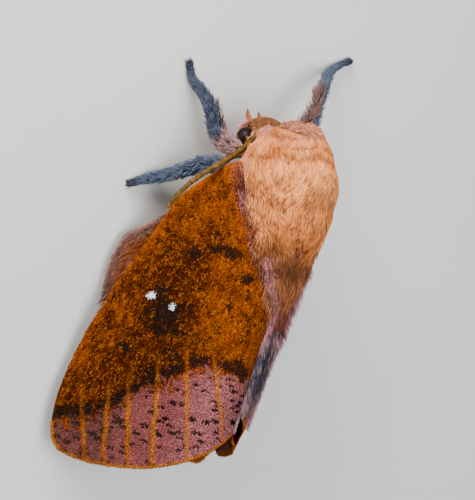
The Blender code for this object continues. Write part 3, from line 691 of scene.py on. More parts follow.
def forewing_marks(w, y, tone, side):
    """Upper side: rose border, dark band and clouds, specks, dashes, veins, white spots."""
    costa, outer = FOREWING[side][:2]
    grit = np.mod(tone * 7.919, 1.0)
    streak = noise(w, y * 0.45, 0.24, 14)
    grain = 0.5 * grit + 0.5 * noise(w, y * 0.6, 0.16, 15)
    past = y - np.interp(w, BAND_W, BAND_Y) + (noise(w, y, 0.8, 3) - 0.5) * 0.8
    rose = smooth((past - 0.1 + (grit - 0.5) * 0.9 + (streak - 0.5) * 2.2) / 1.5)
    vein = vein_nearness(w, y, 0.17)
    from_outer = distance_to(w, y, outer)
    inner = smooth(((3.2 if side < 0 else 0.8) - w + (grit - 0.5) * 1.2) / 1.1)
    base = bump(distance_to(w, y, BASE_LINE), 0.6)
    border = rose * (1.0 - 0.8 * vein)
    rosy = np.maximum(border, np.maximum(0.8 * inner, 0.7 * base) * (1.0 - rose))
    left = smooth((w - 8.5) / 4.0)
    shade = orange_shade(w, y, past, distance_to(w, y, costa),
                         (streak - 0.5) * 0.6 + (grit - 0.5) * 0.3)
    pink_shade = 0.10 + 0.65 * left + (noise(w, y, 1.2, 6) - 0.5) * 0.4 + (streak - 0.5) * 0.5
    shade = np.where(rose > 0.5, pink_shade, shade) * (1.0 - 0.8 * inner)
    soot = 0.9 * smooth((band_and_clouds(w, y, past) * 1.25 - 0.5 * grit - 0.5 * streak) / 0.30)
    pits = 0.8 * smooth((0.30 - grain) / 0.1) * smooth((shade - 0.35) / 0.3) * (1.0 - rosy)
    soot = np.maximum(np.maximum(soot, pits), specks_and_dashes(w, y, rose, rosy, left))
    near_vein = vein * smooth((past + 3.2) / 2.2)
    soot = soot * (1.0 - 0.85 * smooth(near_vein * 1.5))
    edge = smooth((0.27 - from_outer) / 0.16)
    fading = 1.0 - 0.45 * smooth((2.5 - from_outer) / 2.0)
    gold = np.maximum(near_vein * np.maximum(rose * 0.6 * fading, 0.25), edge * 0.7)
    flecks = 0.35 * smooth((grain - 0.60) / 0.15) * (1.0 - rose) * (1.0 - inner)
    lilac = 0.22 * rose * smooth((7.5 - w) / 4.0)
    blotch = smooth((noise(w, y, 1.2, 44) - 0.45) / 0.2)
    maroon = 0.8 * (side < 0) * smooth((2.5 - w) / 0.6) * blotch
    return {"rose": rosy * (1.0 - edge), "gold": np.maximum(gold, flecks),
            "soot": soot * (1.0 - edge), "white": white_spots(w, y),
            "maroon": maroon * (1.0 - rose), "lilac": lilac * (1.0 - edge),
            "shade": np.clip(shade, 0.0, 1.0)}


def hindwing_marks(w, y, tone, side):
    """Upper side: orange in front, rosy toward the thorax, maroon to the rear, orange rim."""
    maroon = smooth((y - 15.0) / 3.0)
    edge = smooth((0.16 - distance_to(w, y, HINDWING[side][1])) / 0.08)
    rose = 0.35 + (noise(w, y, 1.5, 41) - 0.5) * 0.8
    return {"rose": rose * (1.0 - maroon), "gold": edge * 0.9, "soot": (tone < 0.04) * 0.5,
            "maroon": 0.8 * maroon * (1.0 - edge), "shade": 0.15}


def underside_marks(w, y, tone, side):
    """Paler under side, alike on both sides: dusty rose, orange to the costa, faint veins."""
    rose = 0.85 - 0.5 * smooth((w - 11.0) / 4.0)
    return {"rose": rose, "gold": vein_nearness(w, y, 0.2) * 0.5, "soot": (tone < 0.06) * 0.6,
            "shade": 0.2 + 0.3 * noise(w, y, 1.5, 43)}


SHEET_THICKNESS = 0.16
SHEET_ROWS = 140
SHEET_COLUMNS = 100


def relief(w, y):
    """Small rises of the sheet: veins, pleats between them and soft unevenness."""
    far = smooth((y - 6.0) / 8.0)
    pleats = 0.10 * (noise(w, y * 0.2, 1.6, 51) - 0.5)
    return 0.05 * vein_nearness(w, y, 0.28) * far + pleats * smooth(w / 2.0)


def wing_sheet(name, plan, side, drop, marks, material):
    """Closed thin sheet of one wing, with its markings on both faces."""
    s, v = np.meshgrid(np.linspace(0, 1, SHEET_ROWS + 1), np.linspace(0, 1, SHEET_COLUMNS + 1),
                       indexing="ij")
    place = plan_point(plan, s, v)
    w, y = place[..., 0], place[..., 1]
    bumps = relief(w, y)
    top, _ = on_wing(w, y, side, drop, bumps + SHEET_THICKNESS / 2)
    under, _ = on_wing(w, y, side, drop, bumps - SHEET_THICKNESS / 2)
    points = np.concatenate([top.reshape(-1, 3), under.reshape(-1, 3)])
    index = np.arange(w.size).reshape(w.shape)
    corners = (index[:-1, :-1], index[:-1, 1:], index[1:, 1:], index[1:, :-1])
    quads = np.stack(corners, axis=-1).reshape(-1, 4)
    rim = np.concatenate([index[0, :], index[1:, -1], index[-1, -2::-1], index[-2:0:-1, 0]])
    nearby = np.roll(rim, -1)
    edge = np.stack([rim, nearby, nearby + w.size, rim + w.size], axis=-1)
    if side > 0:
        quads = quads[:, ::-1]
    else:
        edge = edge[:, ::-1]
    tone = np.random.default_rng(5).random(w.size)
    upper = marks(w.ravel(), y.ravel(), tone, side)
    below = underside_marks(w.ravel(), y.ravel(), tone, side)
    masks = {key: np.concatenate([np.broadcast_to(face.get(key, 0.0), w.size)
                                  for face in (upper, below)]) for key in upper}
    masks["tone"] = np.concatenate([tone, tone])
    return make_mesh(name, points, np.concatenate([quads, quads[:, ::-1] + w.size, edge]),
                     np.zeros((0, 3), int), material, masks)


def wing_uv(w, y, face=1):
    """Place of a wing's point on the map: upper face on the left half, lower on the right."""
    return np.stack([w / 38 + 0.03 + 0.5 * (face < 0), (y + 4) / 33], axis=1)


def wing_scales(name, plan, side, drop, face, marks, spacing, material, seed, cover=None):
    """Overlapping scales in jittered rows, each the colour of the marking under its root.

    Where a cover is given, scales that lie well under that other wing's plan are left out.
    """
    rng = np.random.default_rng(seed)
    step = spacing * 1.0
    w, y = np.meshgrid(np.arange(-0.5, 18.0, step), np.arange(-3.0, 27.2, step), indexing="ij")
    w = (w + rng.uniform(-0.5, 0.5, w.shape) * step).ravel()
    y = (y + rng.uniform(-0.5, 0.5, y.shape) * step).ravel()
    keep = inside(w, y, plan)
    if cover is not None:
        rim = np.minimum.reduce([distance_to(w, y, line) for line in cover])
        keep &= ~inside(w, y, cover) | (rim < 0.8)
    w, y = w[keep], y[keep]
    n = len(w)
    lift = relief(w, y) + face * (SHEET_THICKNESS / 2 - 0.01)
    root, normal = on_wing(w, y, side, drop, lift)
    normal = normal * face
    from_edge = np.minimum(distance_to(w, y, plan[0]), distance_to(w, y, plan[1]))
    calm = smooth((0.6 - from_edge) / 0.5)
    towards = unit(np.stack([(w - 4.0) * 0.35, np.full(n, 10.0)], axis=1))
    turn = rng.normal(0.0, 0.30, n) * (1.0 - 0.8 * calm)
    dw = towards[:, 0] * np.cos(turn) - towards[:, 1] * np.sin(turn)
    dy = towards[:, 0] * np.sin(turn) + towards[:, 1] * np.cos(turn)
    ahead, _ = on_wing(w + dw * 0.1, y + dy * 0.1, side, drop, lift)
    lie = unit(ahead - root)
    length = spacing * rng.uniform(1.7, 2.6, n) * (1.0 - 0.35 * calm)
    rise = spacing * rng.uniform(0.05, 0.45, n) * (1.0 - 0.8 * calm)
    width = spacing * rng.uniform(0.9, 1.3, n)
    keep = inside(w + dw * length * 1.15, y + dy * length * 1.15, plan)
    tone = rng.random(n)[keep]
    masks = marks(w[keep], y[keep], tone, side)
    masks["tone"] = tone
    return scale_mesh(name, root[keep], lie[keep], normal[keep], length[keep], width[keep],
                      rise[keep], material, masks, wing_uv(w[keep], y[keep], face))


def margin(plan, line, t):
    """Places along one margin of a plan, 0 costa, 1 outer, 2 inner, and the way out of it."""
    place = curve_through(plan[line], t)
    along = heading_on(plan[line], t)
    out = np.stack([along[:, 1], -along[:, 0]], axis=1)
    return place, -out if line == 2 else out


def wing_hair(name, side, drop, place, heading, length, rise, marks, material, rng,
              per=12, gather=0.4, width=(0.05, 0.09)):
    """Hair rooted on a wing, lying along a heading in plan."""
    w, y = place[:, 0], place[:, 1]
    n = len(w)
    heading = unit(heading)
    lift = relief(w, y) + rng.uniform(-0.04, 0.08, n)
    root, normal = on_wing(w, y, side, drop, lift)
    ahead, _ = on_wing(w + heading[:, 0] * 0.15, y + heading[:, 1] * 0.15, side, drop, lift)
    lie = unit(ahead - root) + rng.normal(0, 0.12, (n, 3))
    centre = surface_lines(root, normal, lie, length, rise)
    centre, draw = wisps(centre, per, gather, rng)
    masks = {"shade": 0.1, **marks, "tone": 0.5 * draw + 0.5 * rng.random(n)}
    keep = centre[..., 2].min(axis=1) > WING_HAIR_FLOOR
    return strands(name, centre[keep], normal[keep], rng.uniform(*width, n)[keep], 0.6, material,
                   pick(masks, n, keep), wing_uv(w, y)[keep])


def many(count):
    return count // 1


def margin_hair(name, plan, side, drop, material, line, span, count, length, lean, rise, marks,
                seed, gather):
    """Fringe on a stretch of one margin; lean turns it back from straight out."""
    rng = np.random.default_rng(seed)
    n = many(count)
    place, out = margin(plan, line, rng.uniform(*span, n))
    heading = out + np.stack([np.zeros(n), np.full(n, lean)], axis=1)
    place = place - out * rng.uniform(0.05, 0.35, (n, 1))
    size = length * rng.uniform(0.7, 1.15, n)
    return wing_hair(name, side, drop, place, heading, size, size * rise * rng.random(n), marks,
                     material, rng, 12, gather)


def beside_line(n, line, low, high, rng):
    """Random places beside a line in plan, and the line's own heading there."""
    t = rng.uniform(0.0, 1.0, n)
    along = heading_on(line, t, 0.02)
    inward = np.stack([-along[:, 1], along[:, 0]], axis=1)
    return curve_through(line, t) + inward * rng.uniform(low, high, (n, 1)), along


def base_hair(name, side, material):
    """Narrow line of rose and lilac hair where the forewing leaves the thorax's coat."""
    rng = np.random.default_rng(36)
    n = many(2400)
    place, along = beside_line(n, BASE_LINE, -0.35, 0.35, rng)
    keep = inside(place[:, 0], place[:, 1], FOREWING[side])
    place, along = place[keep], along[keep] + rng.normal(0, 0.2, (keep.sum(), 2))
    n = len(place)
    w, y = place[:, 0], place[:, 1]
    tuft = bump(np.hypot(w - 6.25, y - 0.2), 0.9)
    marks = {"rose": 0.55 + 0.35 * noise(w, y, 0.7, 71), "shade": 0.15,
             "gold": 0.25 * (rng.random(n) < 0.4), "lilac": 0.9 * tuft * rng.random(n),
             "soot": np.maximum(0.6 * (rng.random(n) < 0.07),
                                0.8 * bump(np.hypot(w - 6.6, y + 1.25), 0.6))}
    return wing_hair(name, side, 0.0, place, along, rng.uniform(0.6, 1.3, n),
                     rng.uniform(0.10, 0.45, n), marks, material, rng)


def shoulder_hair(name, side, material):
    """The thorax's hair where it spreads over the wing's base, as far as the rosy line."""
    rng = np.random.default_rng(38)
    n = many(11000)
    place = np.stack([rng.uniform(-0.3, 8.0, n), rng.uniform(-3.4, 9.0, n)], axis=1)
    w, y = place[:, 0], place[:, 1]
    limit = np.interp(y, [p[1] for p in BASE_LINE], [p[0] for p in BASE_LINE])
    before = np.interp(y, (-3.4, -2.4, 3.2, 5.0), (6.4, 5.0, 1.6, -1.0)) - 0.7
    keep = (w > before) & (w > 0.0) & (w < limit + 0.2 - 0.6 * rng.random(n))
    place, w, y, limit = place[keep], w[keep], y[keep], limit[keep]
    n = len(w)
    rear = smooth((y - 2.2) / 1.8)
    tuft = noise(w + 0.5 * y, y * 0.3, 0.8, 77)
    heading = np.stack([-0.50 + 0.25 * rear + rng.normal(0, 0.2, n), np.ones(n)], axis=1)
    heading[:, 0] += (noise(w, y, 1.3, 73) - 0.5) * 0.7
    length = rng.uniform(1.2, 2.0, n) * (1.0 + 0.4 * rear)
    rise = rng.uniform(0.15, 0.45, n) + 0.35 * tuft
    rise = rise * np.clip((limit - w) / 0.8, 0.35, 1.0)
    grey = np.maximum(0.7 * spot(w, y, (3.0, 3.1), (0.9, 0.9)),
                      0.6 * spot(w, y, (6.3, -1.2), (0.5, 0.6)))
    rosy = smooth((0.9 - (limit - w)) / 0.8)
    # Painted shade: deeper where the tufts lie low, and a dark band at y 4 for the shadow under the
    # rear tufts' ends; the grey spots are the coat's own
    marks = {"deep": np.clip(0.2 + 0.5 * rear + 0.3 * rosy + 0.4 * (tuft < 0.4), 0, 1),
             "soot": np.maximum(grey, 0.5 * bump(y - 4.0, 0.7)),
             "rose": 0.35 * rosy * (1.0 - 0.5 * rear), "brown": np.maximum(0.9 * rear, 0.5 * rosy),
             "lilac": 0.2 * rosy * (tuft > 0.5)}
    return wing_hair(name, side, 0.0, place, heading, length, rise, marks, material, rng, 12,
                     0.35, (0.045, 0.08))


# Lines of pink hair in plan: on the left forewing down to its margin, on the right at its crest
PINK_LINES = {
    1: ((3.0, 4.3), (2.5, 5.5), (1.7, 7.2), (0.7, 8.6), (0.12, 9.8), (0.08, 13.0)),
    -1: ((2.6, 4.6), (2.9, 6.5), (2.9, 8.6), (2.7, 11.8), (2.4, 15.0), (2.2, 18.0), (1.9, 20.5)),
}


def ridge_hair(name, side, material):
    """Bright pink hair standing along a forewing's inner part, where the back's ridge runs."""
    rng = np.random.default_rng(39)
    n = many(2400 if side > 0 else 3400)
    place, along = beside_line(n, PINK_LINES[side], -0.3, 0.3, rng)
    w, y = place[:, 0], place[:, 1]
    rear = smooth((y - 11.5) / 2.5)
    w = w + rng.normal(0, 0.3, n) * (side < 0) * (1.0 - 0.7 * rear)
    keep = inside(w, y, FOREWING[side])
    w, y, along, rear = w[keep], y[keep], along[keep], rear[keep]
    n = len(w)
    heading = along + rng.normal(0, 0.25, (n, 2)) + np.array((0.35 * (side < 0), 0.0))
    marks = {"rose": 0.95, "lilac": smooth((noise(w, y, 0.8, 75) + 0.25 * rear - 0.05) / 0.3),
             "shade": 0.0, "white": 0.15 * rear}
    length = rng.uniform(0.6, 1.2, n) * (1.0 - 0.4 * rear)
    stand = rng.uniform(0.3, 0.9, n) if side < 0 else rng.uniform(0.2, 0.6, n)
    return wing_hair(name, side, 0.0, np.stack([w, y], axis=1), heading, length, length * stand,
                     marks, material, rng, 6, 0.35, (0.035, 0.055))


def valley_hair(name, side, material):
    """Dark grey-blue hair with some pale strands, in the valley between the forewings."""
    rng = np.random.default_rng(37)
    n = many(2400)
    y = 18.0 - 7.0 * rng.random(n) ** 1.6
    w = rng.uniform(0.0, 0.4 if side > 0 else 1.5, n)
    heading = np.stack([rng.normal(-0.2, 0.25, n), np.ones(n)], axis=1)
    pale = rng.random(n) < 0.22 + 0.5 * smooth((y - 15.8) / 1.6) + 0.4 * smooth((13.0 - y) / 1.5)
    marks = {"rose": 0.85 * pale, "soot": (0.35 + 0.5 * rng.random(n)) * ~pale}
    length = rng.uniform(0.9, 1.6, n)
    return wing_hair(name, side, 0.0, np.stack([w, y], axis=1), heading, length,
                     length * rng.uniform(0.1, 0.5, n), marks, material, rng, 5, 0.3,
                     (0.035, 0.055))


def hind_hair(name, side, material):
    """Long orange and rose hair on the hindwing's front strip, grey at its edge."""
    rng = np.random.default_rng(35)
    n = many(9000)
    place = np.stack([rng.uniform(9.0, 16.0, n), rng.uniform(1.0, 16.0, n)], axis=1)
    place = place[inside(place[:, 0], place[:, 1], HINDWING[side])]
    n = len(place)
    heading = np.stack([(place[:, 0] - 6.0) * 0.05, np.ones(n)], axis=1)
    from_costa = distance_to(place[:, 0], place[:, 1], HIND_COSTA)
    grey = smooth((1.1 - from_costa) / 0.8) * rng.uniform(0.2, 0.8, n)
    patch = noise(place[:, 0], place[:, 1], 1.4, 72)
    marks = {"rose": 0.35 * (1 - grey), "lilac": 0.35 * patch * (1 - grey),
             "gold": 0.25 * (1 - grey), "shade": 0.3, "soot": 0.6 * grey, "white": 0.16 * grey}
    return wing_hair(name, side, HINDWING_DROP, place, heading, rng.uniform(0.7, 1.5, n),
                     rng.uniform(0.05, 0.35, n), marks, material, rng, 14, 0.3, (0.04, 0.07))


def coat_radii(points, level):
    """Half sizes of the thorax's form on each point's side, level mm above the core."""
    height = np.where(points[..., 2] > THORAX_CENTRE[2], CORE_RADII[2], CORE_RADII[3])
    flat = np.stack([np.full(height.shape, r) for r in CORE_RADII[:2]] + [height], axis=-1)
    return flat + np.asarray(level)[..., None]


def on_coat(points, level):
    """Points moved toward or from the thorax's centre to a level above its core."""
    away = points - THORAX_CENTRE
    share = np.linalg.norm(away / coat_radii(points, level), axis=-1, keepdims=True)
    return THORAX_CENTRE + away / share


def coat_normal(points):
    """Outward directions of the thorax's coat at points near it."""
    return unit((points - THORAX_CENTRE) / coat_radii(points, 0.4) ** 2)


def coat_lines(root, length, levels, free, sway, climb=0.0):
    """Centre lines that run back over the thorax; free ones leave its form and stand off."""
    line = [on_coat(root, levels[:, 0])]
    share = free[:, None]
    for k in range(1, levels.shape[1]):
        here = line[-1]
        normal = coat_normal(here)
        away = (here - THORAX_CENTRE) / coat_radii(here, 0.0)
        front = smooth((-away[:, 1] - 0.25) / 0.6)
        way = np.stack([away[:, 0] * 0.6 * front + sway, np.ones(len(here)),
                        1.5 * front + climb], axis=1)
        flat = way - normal * np.sum(way * normal, axis=1, keepdims=True)
        way = unit(unit(flat) * (1.0 - share) + unit(way) * share)
        ahead = here + way * (length / (levels.shape[1] - 1))[:, None]
        held = on_coat(ahead, levels[:, k])
        loose = ahead + normal * (levels[:, k] - levels[:, k - 1])[:, None]
        line.append(held + (loose - held) * share)
    return np.stack(line, axis=1)


def draw_places(n, low, high, half, rng):
    """Random places on the thorax, as degrees back from the front and round from the top."""
    ends = np.cos(np.radians((low, high)))
    return np.degrees(np.arccos(rng.uniform(ends[1], ends[0], n))), rng.uniform(-half, half, n)


def fold_place(around):
    """Degrees back from the front at which the collar's hair ends."""
    return 35.0 + 0.17 * np.abs(around)


def thorax_piece(name, centre, polar, around, marks, material, rng, per=14, gather=0.14):
    """Strands of one part of the thorax's coat, gathered twice and kept clear of the wings."""
    centre, draw = wisps(centre, per * 6, 0.38, rng)
    centre, fine = wisps(centre, per, gather, rng)
    keep = clear_of_wings(centre)
    n = len(centre)
    flank = smooth((np.abs(around) - 62.0) / 14.0) * smooth((polar - 78.0) / 14.0)
    masks = {"rose": 0.0, "lilac": 0.0, "soot": 0.0,
             "tone": 0.5 * draw + 0.25 * fine + 0.25 * rng.random(n)}
    masks.update(marks)
    masks["rose"] = np.maximum(masks["rose"], 0.45 * flank)
    masks["lilac"] = np.maximum(masks["lilac"], 0.7 * flank * (fine > 0.55))
    masks["soot"] = np.maximum(masks["soot"], (rng.random(n) < 0.006) * 0.5)
    uv = np.stack([around / 300 + 0.5, polar / 184 + 0.01], axis=1)
    return strands(name, centre[keep], coat_normal(centre[keep, 0]),
                   rng.uniform(0.045, 0.08, n)[keep], 0.6, material,
                   pick(masks, n, keep), uv[keep])


def stack_levels(*levels):
    """Levels of the strands' successive points, one row each."""
    size = max(np.size(level) for level in levels)
    return np.stack([np.broadcast_to(level, size) for level in levels], axis=1)


def collar_coat(material):
    """Collar: shorter hair, tipped rosy, that stands up and lies back over the fold."""
    rng = np.random.default_rng(101)
    n = many(9500)
    polar, around = draw_places(n, 8.0, 60.0, 125.0, rng)
    keep = polar < fold_place(around) + 3.0
    polar, around = polar[keep], around[keep]
    n = len(polar)
    room = fold_place(around) - polar
    length = np.clip(room * 0.095 + 0.7, 0.7, 1.9) * rng.uniform(0.65, 1.15, n)
    wave = noise(polar, around, 11.0, 62)
    side = smooth((np.abs(around) - 55.0) / 40.0)
    lock = noise(around, polar * 0.3, 6.0, 68)
    high = (0.50 + 0.22 * wave + 0.18 * lock) * (1.0 - 0.35 * side) + rng.normal(0, 0.06, n)
    ending = 0.95 - 0.35 * smooth((18.0 - room) / 14.0)
    levels = stack_levels(-0.1, high * 0.75, high, high * ending)
    sway = (noise(polar, around, 16.0, 64) - 0.5) * 0.9 + rng.normal(0, 0.18, n)
    centre = coat_lines(core_point(polar, around, 0.0), length, levels, np.zeros(n), sway)
    right = smooth((-around - 2.0) / 20.0) * smooth((polar - 13.0) / 8.0)
    band = bump(polar - 33.0, 4.0) * smooth((around - 48.0) / 12.0)
    front = smooth((26.0 - polar) / 10.0)
    # Painted shade: the band where the head meets the collar and the lowest locks are darkened; the
    # right side and the front are the coat's own deeper colour
    marks = {"rose": (0.10 + 0.40 * front) * (1.0 - 0.9 * right) * (1.3 - wave),
             "brown": np.clip(0.15 + 0.5 * front + 0.35 * (lock < 0.4), 0, 1),
             "deep": np.clip(0.35 + 0.45 * right + 0.8 * band + 0.3 * front
                             + 0.5 * (lock < 0.4), 0, 1),
             "soot": 0.35 * band + 0.4 * bump(np.hypot(polar - 40.0, around - 11.0), 5.0)}
    return thorax_piece("collar_coat", centre, polar, around, marks, material, rng, 12, 0.4)


def fringe_coat(material):
    """Pale fine hair that stands forward at the front of the collar, over the head."""
    rng = np.random.default_rng(102)
    n = many(3200)
    polar, around = draw_places(n, 9.0, 26.0, 100.0, rng)
    root = core_point(polar, around, 0.2)
    normal = coat_normal(root)
    lie = np.stack([0.2 * np.sin(np.radians(around)), np.full(n, 0.1), np.full(n, 0.8)], axis=1)
    length = rng.uniform(0.6, 1.15, n)
    centre = surface_lines(root, normal, lie + rng.normal(0, 0.3, (n, 3)), length,
                           length * rng.uniform(0.3, 0.9, n))
    pale = rng.random(n) < 0.4
    marks = {"rose": 0.7 * pale, "deep": 0.5, "brown": 0.8 * ~pale, "lilac": 0.25 * ~pale}
    return thorax_piece("fringe_coat", centre, polar, around, marks, material, rng, 8, 0.35)


def disc_coat(part, material):
    """Plush hair over the middle of the thorax, from under the collar's end to the tufts."""
    rng = np.random.default_rng(110 + part)
    n = many(12000)
    polar, around = draw_places(n, 26.0, 114.0, 118.0, rng)
    past = polar - fold_place(around)
    keep = past > -9.0 + 9.0 * rng.random(n)
    polar, around, past = polar[keep], around[keep], past[keep]
    n = len(polar)
    groove = bump(around - 58.0 + (polar - 95.0) * 0.3, 10.0) * smooth((polar - 72.0) / 12.0)
    wave = noise(polar, around, 20.0, 63) - 0.5 * groove
    lock = 0.6 * noise(around, polar * 0.25, 9.0, 69) + 0.4 * noise(around, polar * 0.2, 3.0, 70)
    high = 0.50 + 0.26 * wave + 0.18 * lock + rng.normal(0, 0.03, n)
    high = high - 0.20 * bump(past - 3.0, 5.0)
    length = rng.uniform(2.0, 3.3, n) * (0.75 + 0.25 * smooth(past / 25.0))
    levels = stack_levels(-0.1, high * 0.7, high * 0.95, high)
    sway = (noise(polar, around, 24.0, 65) - 0.5) * 1.0 + rng.normal(0, 0.08, n)
    centre = coat_lines(core_point(polar, around, 0.0), length, levels, np.zeros(n), sway)
    fold = bump(past - 3.0, 6.0)
    shoulder = smooth((-around - 12.0) / 20.0) * smooth((66.0 - polar) / 14.0)
    # Painted shade: darker along the collar's fold, in the groove by the wing and in low locks; the
    # shoulder and the rear are the coat's own deeper orange
    marks = {"deep": np.clip(0.6 * fold + 0.8 * groove + 0.5 * shoulder
                             + 0.7 * smooth((0.46 - lock) / 0.2)
                             + 0.45 * smooth((polar - 88.0) / 18.0), 0, 1),
             "brown": np.maximum(0.35 * fold, 0.5 * groove),
             "soot": np.maximum(0.04 + 0.5 * (rng.random(n) < 0.03),
                                0.7 * spot(polar, around, (114.0, 58.0), (8.0, 14.0)))}
    return thorax_piece(f"disc_coat_{part}", centre, polar, around, marks, material, rng)


# Tufts at the back of the thorax: degrees back from the front and round from the top
REAR_TUFTS = ((101.0, -64.0), (103.0, -46.0), (105.0, -30.0), (106.0, -14.0), (105.0, 2.0),
              (104.0, 18.0), (102.0, 34.0), (99.0, 50.0), (92.0, -38.0), (93.0, -6.0),
              (91.0, 26.0))


def rear_tufts(material):
    """Overhanging tufts with ragged ends where the coat meets the wings' bases."""
    rng = np.random.default_rng(120)
    n = many(5600)
    which = rng.integers(0, len(REAR_TUFTS), n)
    polar = np.array(REAR_TUFTS)[which, 0] + rng.normal(0, 4.0, n)
    around = np.array(REAR_TUFTS)[which, 1] + rng.normal(0, 5.5, n)
    high = 0.92 + rng.normal(0, 0.05, n)
    levels = stack_levels(-0.05, high * 0.6, high, high)
    aim = np.array(REAR_TUFTS)[which, 1]
    sway = np.radians(aim - around) * 1.1
    length = rng.uniform(1.7, 2.4, n)
    centre = coat_lines(core_point(polar, around, 0.0), length, levels, np.full(n, 0.25), sway)
    dark = spot(polar, around, (112.0, 58.0), (14.0, 18.0))
    marks = {"deep": 0.35 + 0.4 * rng.random(n), "soot": 0.6 * dark, "brown": 0.5 * dark}
    return thorax_piece("rear_tufts", centre, polar, around, marks, material, rng, 10, 0.5)


def metathorax_hair(material):
    """Brown-orange hair that runs back from under the tufts, down between the wings."""
    rng = np.random.default_rng(121)
    n = many(6500)
    polar, around = draw_places(n, 110.0, 162.0, 84.0, rng)
    levels = stack_levels(-0.2, rng.uniform(-0.1, 0.2, n), 0.15, 0.15)
    sway = (noise(polar, around, 18.0, 66) - 0.5) * 0.5
    length = rng.uniform(2.0, 4.2, n)
    climb = 0.10 + 0.12 * smooth((polar - 135.0) / 20.0)
    centre = coat_lines(core_point(polar, around, 0.0), length, levels, np.full(n, 0.85), sway,
                        climb)
    rosy = smooth((-around - 8.0) / 18.0)
    dusk = spot(polar, around, (122.0, 62.0), (12.0, 30.0))
    marks = {"deep": 0.8, "rose": 0.3 * rosy, "brown": 0.9, "lilac": 0.5 * dusk,
             "soot": np.maximum((rng.random(n) < 0.05) * 0.6, 0.5 * dusk)}
    return thorax_piece("metathorax_hair", centre, polar, around, marks, material, rng, 12, 0.5)


def venter_coat(material):
    """Shorter hair on the lower sides and under side of the thorax."""
    rng = np.random.default_rng(23)
    n = many(5000)
    polar = np.degrees(np.arccos(rng.uniform(-0.95, 0.9, n)))
    around = 180.0 + rng.uniform(-72.0, 72.0, n)
    high = 0.35 + 0.15 * rng.random(n)
    levels = stack_levels(-0.1, high * 0.6, high, high)
    centre = coat_lines(core_point(polar, around, 0.0), rng.uniform(1.0, 1.7, n), levels,
                        np.zeros(n), rng.normal(0, 0.1, n), -0.4)
    marks = {"rose": 0.45, "deep": 0.5}
    return thorax_piece("venter_coat", centre, polar, (around + 180.0) % 360.0 - 180.0, marks,
                        material, rng)


def roof_height(points, side):
    """How far points lie above the folded forewing on their side, and the arc length there."""
    tuck = 1.0 if side < 0 else 0.0
    x = points[..., 0] * side
    low = np.zeros(x.shape)
    high = np.full(x.shape, 18.0)
    for _ in range(16):
        middle = (low + high) / 2
        less = roof(middle, points[..., 1], tuck)[..., 0] < x
        low, high = np.where(less, middle, low), np.where(less, high, middle)
    return points[..., 2] - roof(low, points[..., 1], tuck)[..., 2], low


def clear_of_wings(centre):
    """True for strands that stay wholly over or wholly under the forewings."""
    good = np.ones(len(centre), bool)
    for side in (1, -1):
        above, w = roof_height(centre, side)
        under_wing = (centre[..., 0] * side > ROOF_HALF_GAP)
        under_wing &= inside(w, centre[..., 1], FOREWING[side])
        over = np.where(under_wing, above > 0.10, True).all(axis=1)
        below = np.where(under_wing, above < -0.40, True).all(axis=1)
        good &= over | below
    return good


def head_regions(q):
    """Shares of face, crown and cheek at unit directions from the head's centre."""
    face = smooth((-q[:, 1] - 0.15) / 0.25) * smooth((q[:, 2] + 0.75) / 0.3)
    crown = smooth((q[:, 2] - 0.15) / 0.25) * (1.0 - face)
    cheek = smooth((0.15 - q[:, 2]) / 0.25) * smooth((np.abs(q[:, 0]) - 0.35) / 0.2) * (1 - face)
    return face, crown, cheek


def weighted(share, x, y, z):
    """A direction for every strand, weighted by its share of a region."""
    return share[:, None] * np.stack(np.broadcast_arrays(x, y, z), axis=1)


